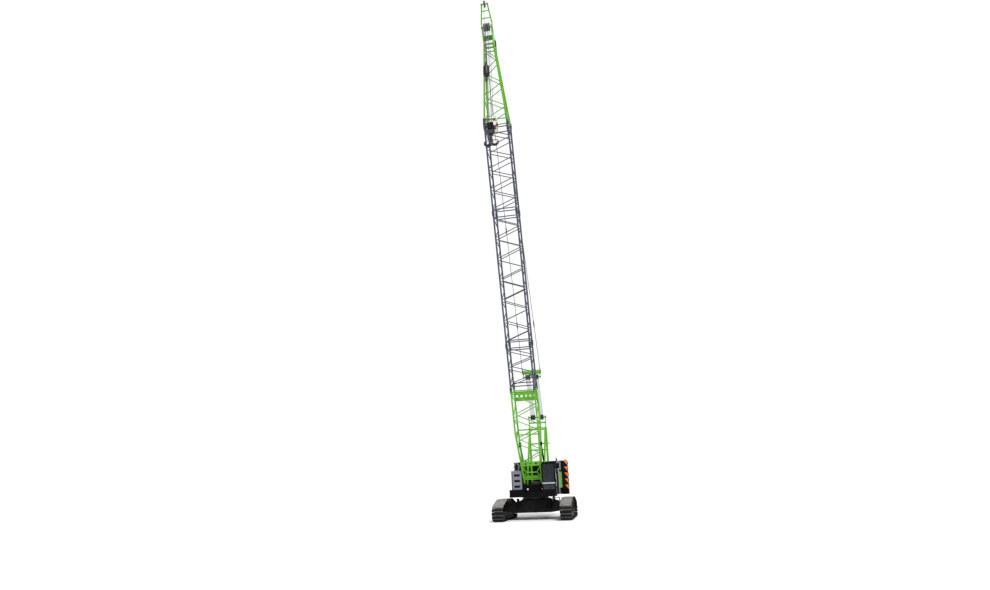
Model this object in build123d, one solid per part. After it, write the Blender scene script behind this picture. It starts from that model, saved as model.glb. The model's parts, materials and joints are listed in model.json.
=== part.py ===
"""Crawler crane with a 31 m lattice boom, as separate named pieces.

Millimetres. +Z is up, the machine faces -Y and its left side, with the cab, is +X.
The origin is on the ground under the slewing axis.
"""

import math
import os

from build123d import *

# Driving sizes: tracks
TRACK_GAUGE = 4460.0
SHOE_WIDTH = 760.0
SHOE_COUNT = 56
SHOE_THICK = 60.0
SHOE_NOTCH = 38.0
SHOE_GAP = 34.0
LINK_DEPTH = 80.0
LINK_WIDTH = 330.0
TRACK_LENGTH = 6000.0
TRACK_TOP = 1380.0
WRAP_RADIUS = 530.0
CARRIER_Y = 1150.0
ROLLER_R = 125.0
ROLLER_COUNT = 11
CARRIER_R = 95.0
FRAME_WIDTH = 320.0

# Driving sizes: carbody and slewing ring
CARBODY_BOTTOM = 460.0
CARBODY_TOP = 1310.0
CARBODY_HALF = 1150.0
AXLE_Y = 950.0
AXLE_LENGTH = 520.0
RING_R = 860.0
RING_HEIGHT = 110.0

# Driving sizes: upper works
DECK_TOP = 1750.0
SPINE_HALF = 480.0
DECK_HALF = 1600.0
DECK_FRONT = -1500.0
DECK_REAR = 3250.0
HOUSE_TOP = 3200.0
HOUSE_INNER = 740.0
HOUSE_FRONT = -560.0
WALL = 40.0
CW_HALF = 2030.0
CW_DEPTH = 1150.0
CW_BOTTOM = 1480.0
CW_TOP = 3900.0
CW_SLABS = 5

# Driving sizes: cab
CAB_WIDTH = 900.0
CAB_FRONT = -2350.0
CAB_LENGTH = 1650.0
CAB_HEIGHT = 1880.0
CAB_SILL = 560.0
CAB_WALL = 50.0
DOOR_LENGTH = 860.0
HINGE_PIN_R = 9.0

# Driving sizes: boom
BOOM_ANGLE = 71.0
FOOT_Y = -1150.0
FOOT_Z = 2400.0
FOOT_HALF = 580.0
FOOT_PIN_R = 55.0
FOOT_DEEP = 130.0
BOOM_HALF = 795.0
BOOM_DEEP = 660.0
TIP_HALF = 320.0
BASE_LENGTH = 6500.0
BASE_TAPER = 3600.0
SHORT_LENGTH = 3000.0
LONG_LENGTH = 9000.0
MID_LENGTH = 6000.0
TIP_LENGTH = 6500.0
CHORD_R = 58.0
BRACE_R = 30.0
BRACE_SIDES = 4
END_INSET = 270.0
BAY = 1450.0
HEAD_OFFSET = 520.0
HEAD_SHEAVE_R = 270.0
RUNNER_LENGTH = 1550.0
RUNNER_SHEAVE_R = 230.0

# Driving sizes: rigging
GANTRY_Y = 3050.0
GANTRY_Z = 7200.0
GANTRY_HALF = 640.0
BRIDLE_REACH = 3320.0
RIG_SHEAVE_R = 210.0
SHEAVE_WIDTH = 90.0
ROPE_R = 13.0
MAIN_DROP = 7750.0
AUX_DROP = 4915.0
BLOCK_SHEAVE_R = 270.0
SEAT = 0.3
DECK_BOTTOM = CARBODY_TOP + RING_HEIGHT + SEAT
CAB_INNER_X = max(DECK_HALF - 860, FOOT_HALF + 160)

COS_B = math.cos(math.radians(BOOM_ANGLE))
SIN_B = math.sin(math.radians(BOOM_ANGLE))
BOOM_LENGTH = BASE_LENGTH + SHORT_LENGTH + LONG_LENGTH + MID_LENGTH + TIP_LENGTH


def box(x0, x1, y0, y1, z0, z1):
    """Block between two corners."""
    size = (x1 - x0, y1 - y0, z1 - z0)
    return Pos((x0 + x1) / 2, (y0 + y1) / 2, (z0 + z1) / 2) * Box(*size)


def rod(p, q, r):
    """Round bar between two points."""
    start = Vector(*p)
    axis = Vector(*q) - start
    return Solid.make_cylinder(r, axis.length, Plane(origin=start, z_dir=axis))


def bar(p, q, r, sides=6):
    """Bar with a regular section between two points."""
    start = Vector(*p)
    axis = Vector(*q) - start
    plane = Plane(origin=start, z_dir=axis)
    return extrude(plane * RegularPolygon(r, sides), axis.length)


def plate_yz(points, x0, x1):
    """Outline given as (y, z) pairs, as thick as x0 to x1."""
    wire = Wire.make_polygon([(x0, y, z) for y, z in points])
    return Solid.extrude(Face(wire), Vector(x1 - x0, 0, 0))


def plate_xz(points, y0, y1):
    """Outline given as (x, z) pairs, as deep as y0 to y1."""
    wire = Wire.make_polygon([(x, y0, z) for x, z in points])
    return Solid.extrude(Face(wire), Vector(0, y1 - y0, 0))


def disc(x0, x1, y, z, r, sides=0):
    """Disc on an axis along X, with a regular outline where sides are given."""
    if sides:
        return bar((x0, y, z), (x1, y, z), r, sides)
    return rod((x0, y, z), (x1, y, z), r)


def joined(pieces):
    """One solid from pieces that run into each other."""
    return pieces[0].fuse(*pieces[1:])


def group(pieces):
    """Pieces that share a node without touching."""
    solids = []
    for piece in pieces:
        solids.extend(piece.solids())
    return Compound(solids)


def boom_point(x, n, s):
    """Point x to the left, n behind the boom's centre line and s up from the foot pins."""
    y = FOOT_Y - COS_B * s + SIN_B * n
    z = FOOT_Z + SIN_B * s + COS_B * n
    return (x, y, z)


# Track path, as (y, z) in the plane of the track


def track_path():
    """Corner points and wrap of the line that carries the shoes."""
    r = WRAP_RADIUS - SHOE_THICK
    centre_y = TRACK_LENGTH / 2 - WRAP_RADIUS
    top = TRACK_TOP - SHOE_THICK
    dy = centre_y - CARRIER_Y
    dz = top - WRAP_RADIUS
    reach = math.hypot(dy, dz)
    lift = math.pi - math.atan2(dz, dy) - math.acos(r / reach)
    slope = math.sqrt(reach * reach - r * r)
    wrap = lift + math.pi / 2
    return r, centre_y, top, lift, slope, wrap


def on_track(along, out):
    """Point at a distance along the loop, out from the line that carries the shoes."""
    r, centre_y, top, lift, slope, wrap = track_path()
    flat = 2 * centre_y
    total = 2 * CARRIER_Y + 2 * slope + 2 * r * wrap + flat
    along = along % total
    if along < flat:
        return (centre_y - along, WRAP_RADIUS - r - out)
    along -= flat
    if along < r * wrap:
        a = -math.pi / 2 - along / r
        return (-centre_y + (r + out) * math.cos(a), WRAP_RADIUS + (r + out) * math.sin(a))
    along -= r * wrap
    tangent = -math.pi / 2 - wrap
    if along < slope:
        y = -centre_y + (r + out) * math.cos(tangent) + along * math.sin(tangent)
        z = WRAP_RADIUS + (r + out) * math.sin(tangent) - along * math.cos(tangent)
        return (y, z)
    along -= slope
    if along < 2 * CARRIER_Y:
        return (-CARRIER_Y + along, top + out)
    along -= 2 * CARRIER_Y
    if along < slope:
        back = slope - along
        mirror = math.pi - tangent
        y = centre_y + (r + out) * math.cos(mirror) - back * math.sin(mirror)
        z = WRAP_RADIUS + (r + out) * math.sin(mirror) + back * math.cos(mirror)
        return (y, z)
    along -= slope
    a = math.pi - tangent - along / r
    return (centre_y + (r + out) * math.cos(a), WRAP_RADIUS + (r + out) * math.sin(a))


def track_total():
    """Length of the loop."""
    r, centre_y, top, lift, slope, wrap = track_path()
    return 2 * CARRIER_Y + 2 * slope + 2 * r * wrap + 2 * centre_y


def track(side):
    """Shoe ring and link band of one track."""
    pitch = track_total() / SHOE_COUNT
    outer = []
    inner = []
    for i in range(SHOE_COUNT):
        start = i * pitch
        outer.append(on_track(start + SHOE_GAP / 2, SHOE_THICK - SHOE_NOTCH))
        outer.append(on_track(start + SHOE_GAP / 2, SHOE_THICK))
        outer.append(on_track(start + pitch - SHOE_GAP / 2, SHOE_THICK))
        outer.append(on_track(start + pitch - SHOE_GAP / 2, SHOE_THICK - SHOE_NOTCH))
        inner.append(on_track(start, 0))
    band = [on_track(i * pitch, -SEAT) for i in range(SHOE_COUNT)]
    bore = [on_track(i * pitch, -LINK_DEPTH) for i in range(SHOE_COUNT)]
    mid = side * TRACK_GAUGE / 2
    shoes = ring(outer, inner, mid - SHOE_WIDTH / 2, mid + SHOE_WIDTH / 2)
    links = ring(band, bore, mid - LINK_WIDTH / 2, mid + LINK_WIDTH / 2)
    return group([shoes, links])


def ring(outer, inner, x0, x1):
    """Closed band between two outlines."""
    rim = Wire.make_polygon([(x0, y, z) for y, z in outer])
    hole = Wire.make_polygon([(x0, y, z) for y, z in inner])
    return Solid.extrude(Face(rim, [hole]), Vector(x1 - x0, 0, 0))


def roller_z():
    """Height of the bottom rollers' centres."""
    return SHOE_THICK + LINK_DEPTH + ROLLER_R + SEAT


def frame_bottom():
    """Underside of the track frame's beam."""
    return roller_z() + ROLLER_R + SEAT


def carrier_z():
    """Height of the carrier rollers' centres."""
    return TRACK_TOP - SHOE_THICK - LINK_DEPTH - CARRIER_R - SEAT


def frame_top():
    """Top of the track frame's beam."""
    return carrier_z() - CARRIER_R - SEAT


def idler_r():
    """Radius inside the links at both wraps, less a little for the links' flats."""
    pitch = track_total() / SHOE_COUNT
    r = WRAP_RADIUS - SHOE_THICK - LINK_DEPTH
    return r * math.cos(pitch / (WRAP_RADIUS - SHOE_THICK) / 2) - SEAT


def track_frame(side):
    """Side frame: beam with tapered ends and forks that hold the idler and the final drive."""
    mid = side * TRACK_GAUGE / 2
    centre_y = TRACK_LENGTH / 2 - WRAP_RADIUS
    end = centre_y - idler_r() - 40
    low = frame_bottom()
    high = frame_top()
    shoulder = low + 0.55 * (high - low)
    beam = plate_yz(
        [(-end, low), (end, low), (end, shoulder), (CARRIER_Y, high), (-CARRIER_Y, high), (-end, shoulder)],
        mid - FRAME_WIDTH / 2,
        mid + FRAME_WIDTH / 2,
    )
    pieces = [beam]
    for hand in (-1, 1):
        x0 = mid + hand * FRAME_WIDTH / 2
        x1 = mid + hand * (FRAME_WIDTH / 2 - 45)
        for way in (-1, 1):
            fork = plate_yz(
                [
                    (way * (end - 60), low + 20),
                    (way * (centre_y + 120), low + 60),
                    (way * (centre_y + 120), low + 260),
                    (way * (end - 60), shoulder - 20),
                ],
                min(x0, x1),
                max(x0, x1),
            )
            pieces.append(fork)
    return joined(pieces)


def running_gear(side):
    """Rollers, idler and toothed sprocket of one track, each a solid of its own."""
    mid = side * TRACK_GAUGE / 2
    centre_y = TRACK_LENGTH / 2 - WRAP_RADIUS
    half = FRAME_WIDTH / 2 - 45 - SEAT
    wide = FRAME_WIDTH / 2 - 20
    r = idler_r()
    pieces = [disc(mid - half, mid + half, -centre_y, WRAP_RADIUS, r, 32)]
    teeth = 12
    outline = []
    for i in range(teeth):
        for share, radius in ((0.05, 0.86), (0.3, 1.0), (0.55, 1.0), (0.8, 0.86)):
            a = 2 * math.pi * (i + share) / teeth
            outline.append((centre_y + r * radius * math.cos(a), WRAP_RADIUS + r * radius * math.sin(a)))
    pieces.append(plate_yz(outline, mid - half, mid + half))
    span = centre_y - r - 200
    for i in range(ROLLER_COUNT):
        y = -span + 2 * span * i / (ROLLER_COUNT - 1)
        pieces.append(disc(mid - wide, mid + wide, y, roller_z(), ROLLER_R, 12))
    for y in (-CARRIER_Y + 3 * CARRIER_R, 0, CARRIER_Y - 3 * CARRIER_R):
        pieces.append(disc(mid - half, mid + half, y, carrier_z(), CARRIER_R, 12))
    return group(pieces)


def final_drive(side):
    """Travel motor and gear case on the inner face of the rear fork."""
    mid = side * TRACK_GAUGE / 2
    centre_y = TRACK_LENGTH / 2 - WRAP_RADIUS
    face = mid - side * (FRAME_WIDTH / 2 + SEAT)
    case = bar((face, centre_y, WRAP_RADIUS), (face - side * 170, centre_y, WRAP_RADIUS), 210, 24)
    inner = (face - side * 160, centre_y, WRAP_RADIUS)
    motor = bar(inner, (face - side * 420, centre_y, WRAP_RADIUS), 120, 16)
    return joined([case, motor])


def carbody():
    """Centre box with sloped shoulders and the two axle beams that reach the track frames."""
    reach = TRACK_GAUGE / 2 - FRAME_WIDTH / 2 - SEAT
    low = CARBODY_BOTTOM
    high = CARBODY_TOP
    core = plate_xz(
        [
            (-CARBODY_HALF, low),
            (CARBODY_HALF, low),
            (CARBODY_HALF, high - 250),
            (CARBODY_HALF - 250, high),
            (-CARBODY_HALF + 250, high),
            (-CARBODY_HALF, high - 250),
        ],
        -AXLE_Y,
        AXLE_Y,
    )
    pieces = [core]
    for way in (-1, 1):
        y0 = way * (AXLE_Y + AXLE_LENGTH / 2)
        y1 = way * (AXLE_Y - AXLE_LENGTH / 2)
        beam = plate_xz(
            [
                (-reach, low + 120),
                (-CARBODY_HALF, low),
                (CARBODY_HALF, low),
                (reach, low + 120),
                (reach, frame_top() - 60),
                (CARBODY_HALF - 250, high - 40),
                (-CARBODY_HALF + 250, high - 40),
                (-reach, frame_top() - 60),
            ],
            min(y0, y1),
            max(y0, y1),
        )
        pieces.append(beam)
    return joined(pieces)


def slew_ring():
    """Lower race of the slewing ring, on the carbody."""
    outer = bar((0, 0, CARBODY_TOP + SEAT), (0, 0, CARBODY_TOP + RING_HEIGHT), RING_R, 40)
    inner = bar((0, 0, CARBODY_TOP - 10), (0, 0, CARBODY_TOP + RING_HEIGHT + 10), RING_R - 160, 40)
    return outer - inner


def lashing_eyes():
    """Four tie-down eyes on the ends of the carbody."""
    face = AXLE_Y + AXLE_LENGTH / 2 + SEAT
    pieces = []
    for side in (-1, 1):
        for way in (-1, 1):
            x = side * CARBODY_HALF * 0.7
            eye = plate_yz(
                [
                    (way * face, CARBODY_BOTTOM + 120),
                    (way * face, CARBODY_BOTTOM + 420),
                    (way * (face + 170), CARBODY_BOTTOM + 340),
                    (way * (face + 170), CARBODY_BOTTOM + 200),
                ],
                x - 30,
                x + 30,
            )
            hole = disc(x - 60, x + 60, way * (face + 90), CARBODY_BOTTOM + 270, 40)
            pieces.append(eye - hole)
    return group(pieces)


# Upper works


def upper_frame():
    """Spine, side decks, cab bracket, front wall and the lugs that carry the boom foot."""
    pieces = [box(-SPINE_HALF, SPINE_HALF, DECK_FRONT, DECK_REAR, DECK_BOTTOM, DECK_TOP)]
    pieces.append(bar((0, 0, DECK_BOTTOM), (0, 0, DECK_TOP - 10), RING_R, 40))
    pieces.append(box(-DECK_HALF, DECK_HALF, DECK_FRONT, DECK_REAR, DECK_TOP - 150, DECK_TOP))
    cab_x1 = CAB_INNER_X + CAB_WIDTH
    pieces.append(box(SPINE_HALF - 20, cab_x1, CAB_FRONT, CAB_FRONT + CAB_LENGTH, DECK_TOP - 180, DECK_TOP))
    under = DECK_TOP - 100
    outer = DECK_HALF - 60
    pieces.append(box(SPINE_HALF - 20, outer, CAB_FRONT + 500, HOUSE_FRONT, DECK_BOTTOM + 40, under))
    wall = FOOT_Y - 200
    pieces.append(box(-FOOT_HALF - 123, FOOT_HALF + 123, wall - 40, wall, DECK_TOP - 10, FOOT_Z - 130))
    for side in (-1, 1):
        for hand in (-1, 1):
            x = side * FOOT_HALF + hand * 105
            lug = plate_yz(
                [
                    (FOOT_Y - 330, DECK_TOP - 10),
                    (FOOT_Y + 420, DECK_TOP - 10),
                    (FOOT_Y + 150, FOOT_Z + 100),
                    (FOOT_Y + 70, FOOT_Z + 160),
                    (FOOT_Y - 70, FOOT_Z + 160),
                    (FOOT_Y - 150, FOOT_Z + 100),
                ],
                x - 18,
                x + 18,
            )
            pieces.append(lug)
    body = joined(pieces)
    bore = rod((-FOOT_HALF - 200, FOOT_Y, FOOT_Z), (FOOT_HALF + 200, FOOT_Y, FOOT_Z), FOOT_PIN_R + SEAT)
    return body - bore


def foot_pins():
    """Pins through the lugs and the boom feet."""
    pieces = []
    for side in (-1, 1):
        x0 = side * FOOT_HALF - 150
        x1 = side * FOOT_HALF + 150
        pieces.append(rod((x0, FOOT_Y, FOOT_Z), (x1, FOOT_Y, FOOT_Z), FOOT_PIN_R))
    return group(pieces)


def shell(x0, x1, y0, y1, z0, z1, wall):
    """Closed house open at its floor."""
    inside = box(x0 + wall, x1 - wall, y0 + wall, y1 - wall, z0 - 10, z1 - wall)
    return box(x0, x1, y0, y1, z0, z1) - inside


def house_right():
    """Engine house on the right, with louvres cut through its outer wall."""
    floor = DECK_TOP + SEAT
    body = shell(-DECK_HALF, -HOUSE_INNER, HOUSE_FRONT, DECK_REAR, floor, HOUSE_TOP, WALL)
    cuts = []
    for i in range(6):
        z = floor + 500 + i * 130
        y0 = DECK_REAR - 1500
        cuts.append(box(-DECK_HALF - 10, -DECK_HALF + WALL + 10, y0, y0 + 1200, z, z + 60))
    return body.cut(*cuts)


def engine_block():
    """Engine as one plain block inside the right house."""
    x0 = -DECK_HALF + WALL + 120
    x1 = -HOUSE_INNER - WALL - 60
    return box(x0, x1, HOUSE_FRONT + 900, DECK_REAR - 900, DECK_TOP, HOUSE_TOP - 350)


def house_left():
    """Pump and tank house on the left, behind the cab."""
    floor = DECK_TOP + SEAT
    return shell(HOUSE_INNER, DECK_HALF, HOUSE_FRONT, DECK_REAR, floor, HOUSE_TOP, WALL)


def side_panel():
    """Raised door panel on the left house."""
    x0 = DECK_HALF + SEAT
    return box(x0, x0 + 35, HOUSE_FRONT + 1300, DECK_REAR - 500, DECK_TOP + 220, HOUSE_TOP - 120)


def hood_front():
    """Stepped grey hood at the front right, with three step slots."""
    x0 = -DECK_HALF + 230
    x1 = -FOOT_HALF - 150
    y0 = DECK_FRONT - 60
    y1 = HOUSE_FRONT - SEAT
    body = box(x0, x1, y0, y1, DECK_TOP + 210, HOUSE_TOP - 10)
    cuts = []
    for i in range(3):
        z = DECK_TOP + 330 + i * 365
        cuts.append(box(x0 + 120, x1 - 120, y0 - 10, y0 + 160, z, z + 150))
    return body.cut(*cuts)


def deck_box():
    """Black box under the hood."""
    y0 = DECK_FRONT - 120
    lip = DECK_FRONT - SEAT
    foot = box(-DECK_HALF, -SPINE_HALF - 50, y0, lip, DECK_BOTTOM + 40, DECK_TOP + 205)
    top = box(-DECK_HALF, -FOOT_HALF - 130, y0, HOUSE_FRONT - SEAT, DECK_TOP + SEAT, DECK_TOP + 210 - SEAT)
    return joined([foot, top])


def counterweight_outline(inset, y0, y1):
    """Plan of a slab with cut rear corners, drawn in by an inset."""
    half = CW_HALF - inset
    cut = 350.0
    return [
        (-half, y0),
        (half, y0),
        (half, y1 - cut),
        (half - cut, y1),
        (-half + cut, y1),
        (-half, y1 - cut),
    ]


def plate_xy(points, z0, z1):
    """Outline given as (x, y) pairs, as high as z0 to z1."""
    wire = Wire.make_polygon([(x, y, z0) for x, y in points])
    return Solid.extrude(Face(wire), Vector(0, 0, z1 - z0))


def counterweight_base():
    """Tray that carries the slabs, with a tongue that meets the deck's rear edge."""
    y0 = DECK_REAR + 60
    tray = plate_xy(counterweight_outline(0, y0, y0 + CW_DEPTH), CW_BOTTOM, DECK_TOP + 100)
    tongue = box(-SPINE_HALF, SPINE_HALF, DECK_REAR + SEAT, y0 + 100, DECK_TOP - 150, DECK_TOP + 60)
    return joined([tray, tongue])


def counterweight_slabs():
    """Stack of slabs, every second one drawn in a little so that the joints show."""
    low = DECK_TOP + 100 + SEAT
    step = (CW_TOP - low) / CW_SLABS
    y0 = DECK_REAR + 60
    y1 = y0 + CW_DEPTH
    pieces = []
    for i in range(CW_SLABS):
        z0 = low + i * step
        slabs = plate_xy(counterweight_outline(12 * (i % 2), y0, y1), z0, z0 + step - SEAT)
        pieces.append(slabs)
    return group(pieces)


def gantry_shoulder():
    """Top of the gantry's posts, under its head."""
    return GANTRY_Z - RIG_SHEAVE_R - 590


def gantry_posts():
    """Two upright posts at the back with their cross bars."""
    pieces = []
    foot_y = GANTRY_Y
    for side in (-1, 1):
        x = side * GANTRY_HALF
        z1 = gantry_shoulder()
        pieces.append(box(x - 70, x + 70, foot_y - 90, foot_y + 90, DECK_TOP + SEAT, z1))
    low = DECK_TOP + SEAT
    for z in (low + 0.55 * (GANTRY_Z - low), gantry_shoulder() - 100):
        pieces.append(box(-GANTRY_HALF, GANTRY_HALF, foot_y - 50, foot_y + 50, z - 50, z + 50))
    return joined(pieces)


def gantry_head():
    """Head plates and beam that hold the luffing sheaves."""
    z0 = gantry_shoulder() + SEAT
    pieces = []
    for x in (-GANTRY_HALF, 0, GANTRY_HALF):
        plate = box(x - 25, x + 25, GANTRY_Y - 130, GANTRY_Y + 130, z0, GANTRY_Z + 110)
        pieces.append(plate)
    pieces.append(box(-GANTRY_HALF - 25, GANTRY_HALF + 25, GANTRY_Y - 130, GANTRY_Y + 130, z0, z0 + 40))
    z = GANTRY_Z - RIG_SHEAVE_R - 200
    pieces.append(bar((-GANTRY_HALF, GANTRY_Y, z), (GANTRY_HALF, GANTRY_Y, z), 60, 8))
    end = GANTRY_HALF + 60
    pieces.append(bar((-end, GANTRY_Y, GANTRY_Z), (end, GANTRY_Y, GANTRY_Z), 45, 12))
    return joined(pieces)


def flats(y, z, r, sides, turn=0.0):
    """Corners of a regular outline, the first one turned away from the rear."""
    corners = []
    for i in range(sides):
        a = turn + 2 * math.pi * i / sides
        corners.append((y + r * math.cos(a), z + r * math.sin(a)))
    return corners


def sheave_row(xs, y, z, r, bore, turn=0.0):
    """Several wheels in flats side by side on one shaft, a corner turned to the rope."""
    rim = flats(y, z, r, 20, turn)
    hole = flats(y, z, bore, 12)
    return group([ring(rim, hole, x - SHEAVE_WIDTH / 2, x + SHEAVE_WIDTH / 2) for x in xs])


BORE_FLAT = math.cos(math.pi / 12)
RIG_XS = [side * GANTRY_HALF * share for side in (-1, 1) for share in (0.3, 0.5, 0.7)]


def gantry_sheaves():
    """Luffing sheaves on the gantry's head shaft."""
    return sheave_row(RIG_XS, GANTRY_Y, GANTRY_Z, RIG_SHEAVE_R, 45 + SEAT, stay_turn())


def gantry_struts():
    """Two sloping struts from behind the boom foot up to the gantry's head."""
    pieces = []
    z1 = gantry_shoulder() - 130
    y1 = GANTRY_Y - 95 - SEAT
    for side in (-1, 1):
        x = side * (GANTRY_HALF - 40)
        low = (x, FOOT_Y + 900, DECK_TOP + 60)
        high = (x, y1 - 60, z1)
        pieces.append(bar(low, high, 75, 4))
        pieces.append(box(x - 60, x + 60, FOOT_Y + 780, FOOT_Y + 1020, DECK_TOP + SEAT, DECK_TOP + 110))
    x = GANTRY_HALF - 40
    for share in (0.4, 0.75):
        y = FOOT_Y + 900 + share * (y1 - 60 - FOOT_Y - 900)
        z = DECK_TOP + 60 + share * (z1 - DECK_TOP - 60)
        pieces.append(bar((-x, y, z), (x, y, z), 50, 6))
    pieces.append(box(-x, x, y1 - 120, y1, z1 - 60, z1 + 60))
    return joined(pieces)


def drum(y, z, r, half):
    """Winch drum with two flanges, on bearings that stand on the deck."""
    core = disc(-half, half, y, z, r, 24)
    pieces = [core]
    for side in (-1, 1):
        x0 = side * half
        x1 = side * (half - 35)
        pieces.append(disc(min(x0, x1), max(x0, x1), y, z, r * 1.45, 24))
    return joined(pieces)


def winch_drums():
    """Main hoist, second hoist and boom hoist drums, one behind the other."""
    return group([drum(FOOT_Y + 1700 + 850 * i, DECK_TOP + 400, 240, 330) for i in range(3)])


def winch_stands():
    """Bearing plates of the three drums."""
    pieces = []
    for i in range(3):
        y = FOOT_Y + 1700 + 850 * i
        for side in (-1, 1):
            x0 = side * (330 + SEAT)
            x1 = side * 375
            low = DECK_TOP + SEAT
            high = DECK_TOP + 520
            outline = [(y - 300, low), (y + 300, low), (y + 140, high), (y - 140, high)]
            pieces.append(plate_yz(outline, min(x0, x1), max(x0, x1)))
    return group(pieces)


# Cab


def cab_limits():
    """Outer box of the cab."""
    x0 = CAB_INNER_X
    x1 = CAB_INNER_X + CAB_WIDTH
    y0 = CAB_FRONT
    y1 = CAB_FRONT + CAB_LENGTH
    z0 = DECK_TOP + SEAT
    z1 = DECK_TOP + CAB_HEIGHT
    return x0, x1, y0, y1, z0, z1


def door_limits():
    """Door opening in the cab's outer wall, as y0, y1, z0, z1."""
    x0, x1, y0, y1, z0, z1 = cab_limits()
    d0 = y0 + 330
    return d0, d0 + DOOR_LENGTH, z0 + 120, z1 - 130


def cab_shell():
    """Cab: floor, roof and posts, windows and door opening cut through."""
    x0, x1, y0, y1, z0, z1 = cab_limits()
    lean = 260.0
    body = plate_yz([(y0 + 60, z0), (y1, z0), (y1, z1), (y0 + lean, z1), (y0, z0 + CAB_SILL)], x0, x1)
    room = plate_yz(
        [
            (y0 + 60 + CAB_WALL, z0 + CAB_WALL),
            (y1 - CAB_WALL, z0 + CAB_WALL),
            (y1 - CAB_WALL, z1 - CAB_WALL),
            (y0 + lean + CAB_WALL, z1 - CAB_WALL),
            (y0 + CAB_WALL, z0 + CAB_SILL),
        ],
        x0 + CAB_WALL,
        x1 - CAB_WALL,
    )
    d0, d1, e0, e1 = door_limits()
    cuts = [room, box(x1 - CAB_WALL - 10, x1 + 10, d0, d1, e0, e1)]
    cuts.append(box(x0 + 90, x1 - 90, y0 - 50, y0 + lean + 40, z0 + CAB_SILL + 80, z1 - 110))
    cuts.append(box(x0 + 90, x1 - 90, y0 - 50, y0 + 140, z0 + 190, z0 + CAB_SILL - 110))
    cuts.append(box(x0 - 10, x0 + CAB_WALL + 10, y0 + 330, y1 - 150, z0 + CAB_SILL + 80, z1 - 130))
    cuts.append(box(x0 + 110, x1 - 110, y1 - CAB_WALL - 10, y1 + 10, z0 + 900, z1 - 130))
    cuts.append(box(x0 + 150, x1 - 150, y0 + lean + 150, y0 + lean + 750, z1 - CAB_WALL - 10, z1 + 10))
    pieces = [body.cut(*cuts)]
    for z in hinge_heights():
        x, y = hinge_axis()
        pieces.append(box(x1 - 1, x + 20, d1 + 2, d1 + 40, z - 70, z - 30 - SEAT))
        pieces.append(box(x1 - 1, x + 20, d1 + 2, d1 + 40, z + 30 + SEAT, z + 70))
        pieces.append(rod((x, y, z - 70), (x, y, z + 70), HINGE_PIN_R))
        for end in (-50, 50):
            pieces.append(box(x - 14, x + 14, y - 12, y + 14, z + end - 20 + SEAT, z + end + 20 - SEAT))
    return joined(pieces)


def hinge_axis():
    """Place of the door's hinge pins."""
    x0, x1, y0, y1, z0, z1 = cab_limits()
    d0, d1, e0, e1 = door_limits()
    return x1 + 24, d1


def hinge_heights():
    """Heights of the door's two hinges."""
    d0, d1, e0, e1 = door_limits()
    return (e0 + 200, e1 - 200)


def slanted_pane(y0, z0, y1, z1):
    """Section of a pane that lies a little behind a sloping wall's face."""
    return [(y0 + 18, z0), (y1 + 18, z1), (y1 + 30, z1), (y0 + 30, z0)]


def cab_glass():
    """Panes set in the middle of the cab's walls."""
    x0, x1, y0, y1, z0, z1 = cab_limits()
    lean = 260.0
    low = z0 + CAB_SILL + 80 + SEAT
    high = z1 - 110 - SEAT

    def front_y(z):
        return y0 + lean * (z - z0 - CAB_SILL) / (z1 - z0 - CAB_SILL)

    pieces = []
    pane = slanted_pane(front_y(low), low, front_y(high), high)
    pieces.append(plate_yz(pane, x0 + 90 + SEAT, x1 - 90 - SEAT))

    def chin_y(z):
        return y0 + 60 * (1 - (z - z0) / CAB_SILL)

    low = z0 + 190 + SEAT
    high = z0 + CAB_SILL - 110 - SEAT
    pane = slanted_pane(chin_y(low), low, chin_y(high), high)
    pieces.append(plate_yz(pane, x0 + 90 + SEAT, x1 - 90 - SEAT))
    low = z0 + CAB_SILL + 80 + SEAT
    pieces.append(box(x0 + 19, x0 + 31, y0 + 330 + SEAT, y1 - 150 - SEAT, low, z1 - 130 - SEAT))
    pieces.append(box(x0 + 110 + SEAT, x1 - 110 - SEAT, y1 - 31, y1 - 19, z0 + 900 + SEAT, z1 - 130 - SEAT))
    r0 = y0 + lean + 150 + SEAT
    r1 = y0 + lean + 750 - SEAT
    pieces.append(box(x0 + 150 + SEAT, x1 - 150 - SEAT, r0, r1, z1 - 31, z1 - 19))
    return group(pieces)


def cab_seat():
    """Operator's seat: base, cushion, back rest and head rest."""
    x0, x1, y0, y1, z0, z1 = cab_limits()
    mid = (x0 + x1) / 2
    floor = z0 + CAB_WALL + SEAT
    y = y1 - 650
    pieces = [box(mid - 150, mid + 150, y - 50, y + 300, floor, floor + 330)]
    pieces.append(box(mid - 240, mid + 240, y - 150, y + 350, floor + 320, floor + 450))
    low = floor + 440
    high = floor + 1060
    back = [(y + 290, low), (y + 400, low), (y + 500, high), (y + 410, high)]
    pieces.append(plate_yz(back, mid - 220, mid + 220))
    top = floor + 1230
    head = [(y + 400, high - 10), (y + 490, high - 10), (y + 510, top), (y + 430, top)]
    pieces.append(plate_yz(head, mid - 120, mid + 120))
    return joined(pieces)


def cab_console():
    """Dash panel and the two lever consoles beside the seat."""
    x0, x1, y0, y1, z0, z1 = cab_limits()
    mid = (x0 + x1) / 2
    floor = z0 + CAB_WALL + SEAT
    dash = plate_yz(
        [
            (y0 + 260, floor),
            (y0 + 420, floor),
            (y0 + 420, floor + 620),
            (y0 + 330, floor + 700),
            (y0 + 260, floor + 640),
        ],
        mid - 180,
        mid + 60,
    )
    pieces = [dash]
    for side in (-1, 1):
        x = mid + side * 310
        arm = box(x - 55, x + 55, y1 - 800, y1 - 350, floor, floor + 600)
        stick = rod((x, y1 - 740, floor + 590), (x, y1 - 760, floor + 800), 18)
        pieces.append(joined([arm, stick]))
    return group(pieces)


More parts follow.
